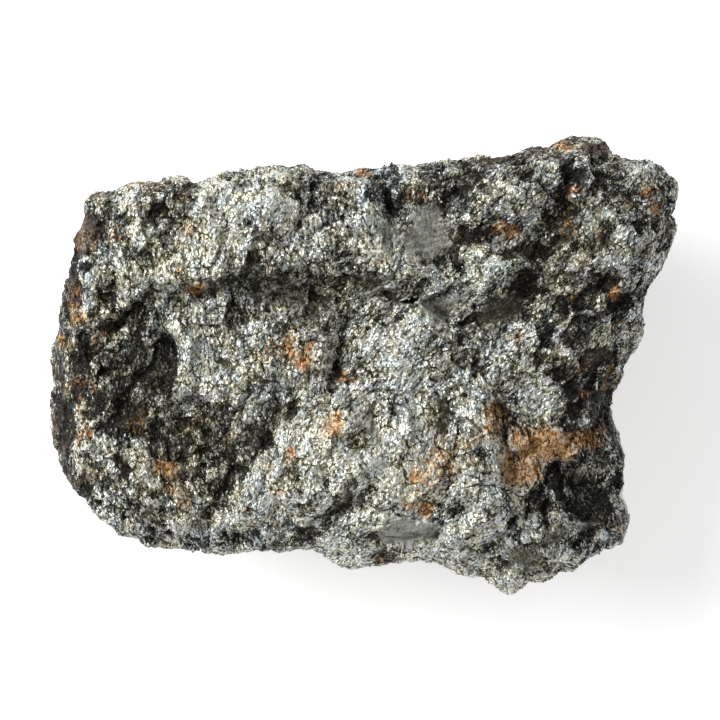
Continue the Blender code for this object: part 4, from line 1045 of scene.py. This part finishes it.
def ore_finish(name, settings, loose):
    """The ore's finish. Grains that stand loose bring a tone of their own, and the body has cells."""
    material, nodes, surface = new_material(name)
    nodes.put(surface["Specular IOR Level"], 0.2)
    place = nodes.scaled(nodes.out(nodes.add("ShaderNodeTexCoord"), "Object"), 1 / MM)
    shaken = nodes.vector("ADD", place, nodes.scaled(nodes.noise(place, 1.6, 2.0, "Color"), 0.7))
    cell = settings.grain_size / MM
    coarse, coarse_pick = long_cells(nodes, shaken, cell, 0.0)
    fine, fine_pick = long_cells(nodes, shaken, cell * 0.5, 5.0)
    own = nodes.attribute("tone") if loose else nodes.out(coarse_pick, "Red")
    tone = own * OWN_TONE + nodes.out(fine_pick, "Red") * (1 - OWN_TONE)
    speck = nodes.out(coarse_pick, "Green") * 0.5 + nodes.out(fine_pick, "Green") * 0.5

    # How bright a grain is, from its tone and the painted light and shade of the light share, with dark
    # gaps round it and a few hairline cracks.
    light = nodes.attribute("light")
    gap = nodes.between(nodes.out(coarse, "Distance"), *GAP_RANGE)
    hairline = {"Vector": shaken, "Scale": 0.30}
    crack = nodes.out(nodes.add("ShaderNodeTexVoronoi", {"feature": "DISTANCE_TO_EDGE"}, hairline))
    line = nodes.between(nodes.noise(place, 0.23, 2.0), *CRACKED_RANGE)
    line = (1 - nodes.between(crack, *CRACK_RANGE)) * line
    bright = nodes.between(tone + light * 1.2, *BRIGHT_RANGE)
    bright = bright * (0.7 + 0.3 * nodes.between(light, 0.0, 0.45))
    bright = bright * (1 - 0.7 * gap) * (1 - 0.85 * line)
    value = (0.8 * tone + 0.5 * light - 0.08) * (1 - 0.5 * gap) * (1 - 0.7 * line)

    # The metallic grains.
    warm = nodes.attribute("warm")
    dark = nodes.mixed(warm, *DARK_TINTS)
    middle = nodes.mixed(warm, *MIDDLE_TINTS)
    pale = nodes.mixed(warm, COOL_BRIGHT, settings.silver)
    colour = nodes.toned(bright, (0.0, 0.42), (0.30, 1.0), dark, middle, pale)
    tint = nodes.between(nodes.noise(place, 0.45, 3.0) + speck * 0.12, *MOTTLE_RANGE)
    tint = nodes.mixed(tint * (1 - bright * 0.7), COOL_TINT, WARM_TINT)
    colour = nodes.vector("MULTIPLY", colour, tint)

    # The streaky slate, lighter and darker with the painted light and shade.
    slate = nodes.attribute("slate")
    striped = nodes.mapped(place, (0, 0, 0), (0, 0, math.radians(SLATE_WAY)), STREAK_SIZE)
    streak = nodes.noise(striped, 1.0, 5.0)
    smooth = light + (streak - 0.5) * 2.1 + (nodes.out(fine_pick, "Red") - 0.5) * 0.22
    slaty = nodes.toned(smooth, (0.05, 0.6), (0.5, 1.15), *SLATE_TINTS, settings.slate)
    colour = nodes.mixed(slate * 0.9, colour, slaty)

    # The weathered finishes, and the rust over them, whose tones also follow the painted light and shade;
    # the olive one is partly painted shade.
    shown = {}
    for finish, (sets_in, cover, lower, upper, dark, pale) in WEATHERING.items():
        shown[finish] = nodes.between(nodes.attribute(finish) + speck * 0.5, *sets_in)
        weathered = nodes.toned(value, lower, upper, dark, getattr(settings, finish), pale)
        colour = nodes.mixed(shown[finish] * cover, colour, weathered)
    rust = nodes.between(nodes.attribute("rust") + speck * 0.8, *RUST_RANGE)
    stops = (*DARK_RUST, (RUST_PLACE, settings.rust), PALE_RUST)
    stain = nodes.add("ShaderNodeValToRGB", {"stops": stops}, {"Fac": value * 1.7 - 0.18})
    hue = nodes.mixed(nodes.out(coarse_pick, "Blue"), *RUST_HUES)
    colour = nodes.mixed(rust * 0.92, colour, nodes.vector("MULTIPLY", nodes.out(stain), hue))

    weathered = nodes.math("MAXIMUM", shown["olive"] * 0.7, slate)
    dull = nodes.math("MAXIMUM", weathered, nodes.math("MAXIMUM", shown["rind"], rust))
    gloss = nodes.mixed(nodes.out(fine_pick, "Blue"), 0.18, 0.45, "FLOAT")
    nodes.put(surface["Base Color"], colour)
    nodes.put(surface["Metallic"], (1 - dull) * (bright * 0.55 + 0.15))
    nodes.put(surface["Roughness"], nodes.mixed(dull, gloss, 0.75, "FLOAT"))

    # Each fine cell leans its own way, and its rim and the streaks stand out a little.
    smoothness = 1 - slate * 0.8
    lean = nodes.vector("SUBTRACT", nodes.out(fine, "Color"), (0.5, 0.5, 0.5))
    lean = nodes.scaled(lean, (1 - dull * 0.6) * (0.6 if loose else 0.9) * smoothness)
    normal = nodes.out(nodes.add("ShaderNodeNewGeometry"), "Normal")
    bump = nodes.add(
        "ShaderNodeBump", None,
        {"Strength": 0.5, "Distance": 0.12 * MM,
         "Height": streak * slate - nodes.out(fine, "Distance") * smoothness,
         "Normal": nodes.vector("NORMALIZE", nodes.vector("ADD", normal, lean))},
    )
    nodes.put(surface["Normal"], nodes.out(bump))
    return material


class ORE_OT_body(bpy.types.Operator):
    """Makes the lump's broken surface, with its fine relief and the shares of its finishes"""

    bl_idname = "ore.body"
    bl_label = "Ore body"

    def execute(self, context):
        piece = show_piece("ore_body", ore_body_mesh())
        piece.data.materials.clear()
        piece.data.materials.append(ore_finish("ore_ground", context.scene.ore_settings, loose=False))
        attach(piece, BODY)
        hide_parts(NODE)
        return {"FINISHED"}


class ORE_OT_grains(bpy.types.Operator):
    """Scatters the metallic grains over the broken face and the sides"""

    bl_idname = "ore.grains"
    bl_label = "Metallic grains"

    def execute(self, context):
        settings = context.scene.ore_settings
        crystals = crystal_collection()
        tree = grain_tree()
        finish = ore_finish("ore_grain", settings, loose=True)
        # A layer's random values use its seed and the four after it.
        for number, layer in enumerate(GRAIN_LAYERS):
            piece = scatter_grains(layer, settings.grain_count, 1 + 10 * number, finish, crystals, tree)
            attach(piece, BODY)
        for crystal in list(crystals.objects):
            bpy.data.objects.remove(crystal)
        bpy.data.collections.remove(crystals)
        return {"FINISHED"}


class ORE_OT_stage(bpy.types.Operator):
    """Sets up the pale floor, the soft window light and the camera that looks straight down"""

    bl_idname = "ore.stage"
    bl_label = "Stage"

    def execute(self, context):
        scene, settings = context.scene, context.scene.ore_stage
        half = settings.floor_width / 2
        mesh = bpy.data.meshes.new("floor")
        corners = [(-half, -half, 0), (half, -half, 0), (half, half, 0), (-half, half, 0)]
        mesh.from_pydata(corners, [], [(0, 1, 2, 3)])
        floor = show_piece("floor", mesh)
        paper, nodes, surface = new_material("paper")
        for name, value in PAPER.items():
            nodes.put(surface[name], value)
        nodes.put(surface["Emission Strength"], settings.paper_glow)
        mesh.materials.append(paper)

        world = bpy.data.worlds.new("studio")
        world.use_nodes = True
        sky = world.node_tree.nodes["Background"].inputs
        sky["Color"].default_value = WHITE
        sky["Strength"].default_value = settings.sky_strength
        scene.world = world

        lamp = bpy.data.lights.new("window", "AREA")
        lamp.energy = settings.key_power
        lamp.shape = "RECTANGLE"
        lamp.size, lamp.size_y = WINDOW_SIZE
        window = show_piece("window", lamp)
        window.location = WINDOW_PLACE
        window.rotation_euler = (-Vector(WINDOW_PLACE)).to_track_quat("-Z", "Y").to_euler()

        view = bpy.data.cameras.new("view")
        view.lens = view.sensor_width * (settings.view_height - RIM_HEIGHT) / settings.view_width
        view.clip_start, view.clip_end = CAMERA_REACH
        scene.camera = show_piece("view", view)
        scene.camera.location = (*CAMERA_PLACE, settings.view_height)
        scene.view_settings.view_transform = "Standard"
        return {"FINISHED"}


class ORE_PT_panel(bpy.types.Panel):
    """Lists the ore's pieces and settings in the 3D view's sidebar"""

    bl_label = "Ore"
    bl_idname = "ORE_PT_panel"
    bl_space_type = "VIEW_3D"
    bl_region_type = "UI"
    bl_category = "Ore"

    def draw(self, context):
        for group in (context.scene.ore_settings, context.scene.ore_stage):
            for name in group.bl_rna.properties.keys():
                if name not in ("rna_type", "name"):
                    self.layout.prop(group, name)
        for operator in OPERATORS:
            self.layout.operator(operator.bl_idname)


OPERATORS = (ORE_OT_body, ORE_OT_grains, ORE_OT_stage)
CLASSES = (OreSettings, StageSettings, *OPERATORS, ORE_PT_panel)


def register():
    for made in CLASSES:
        bpy.utils.register_class(made)
    bpy.types.Scene.ore_settings = PointerProperty(type=OreSettings)
    bpy.types.Scene.ore_stage = PointerProperty(type=StageSettings)


def unregister():
    del bpy.types.Scene.ore_stage
    del bpy.types.Scene.ore_settings
    for made in reversed(CLASSES):
        bpy.utils.unregister_class(made)


def main():
    register()
    bpy.ops.ore.stage()
    bpy.ops.ore.body()
    bpy.ops.ore.grains()
    bpy.context.view_layer.update()


if __name__ == "__main__":
    main()
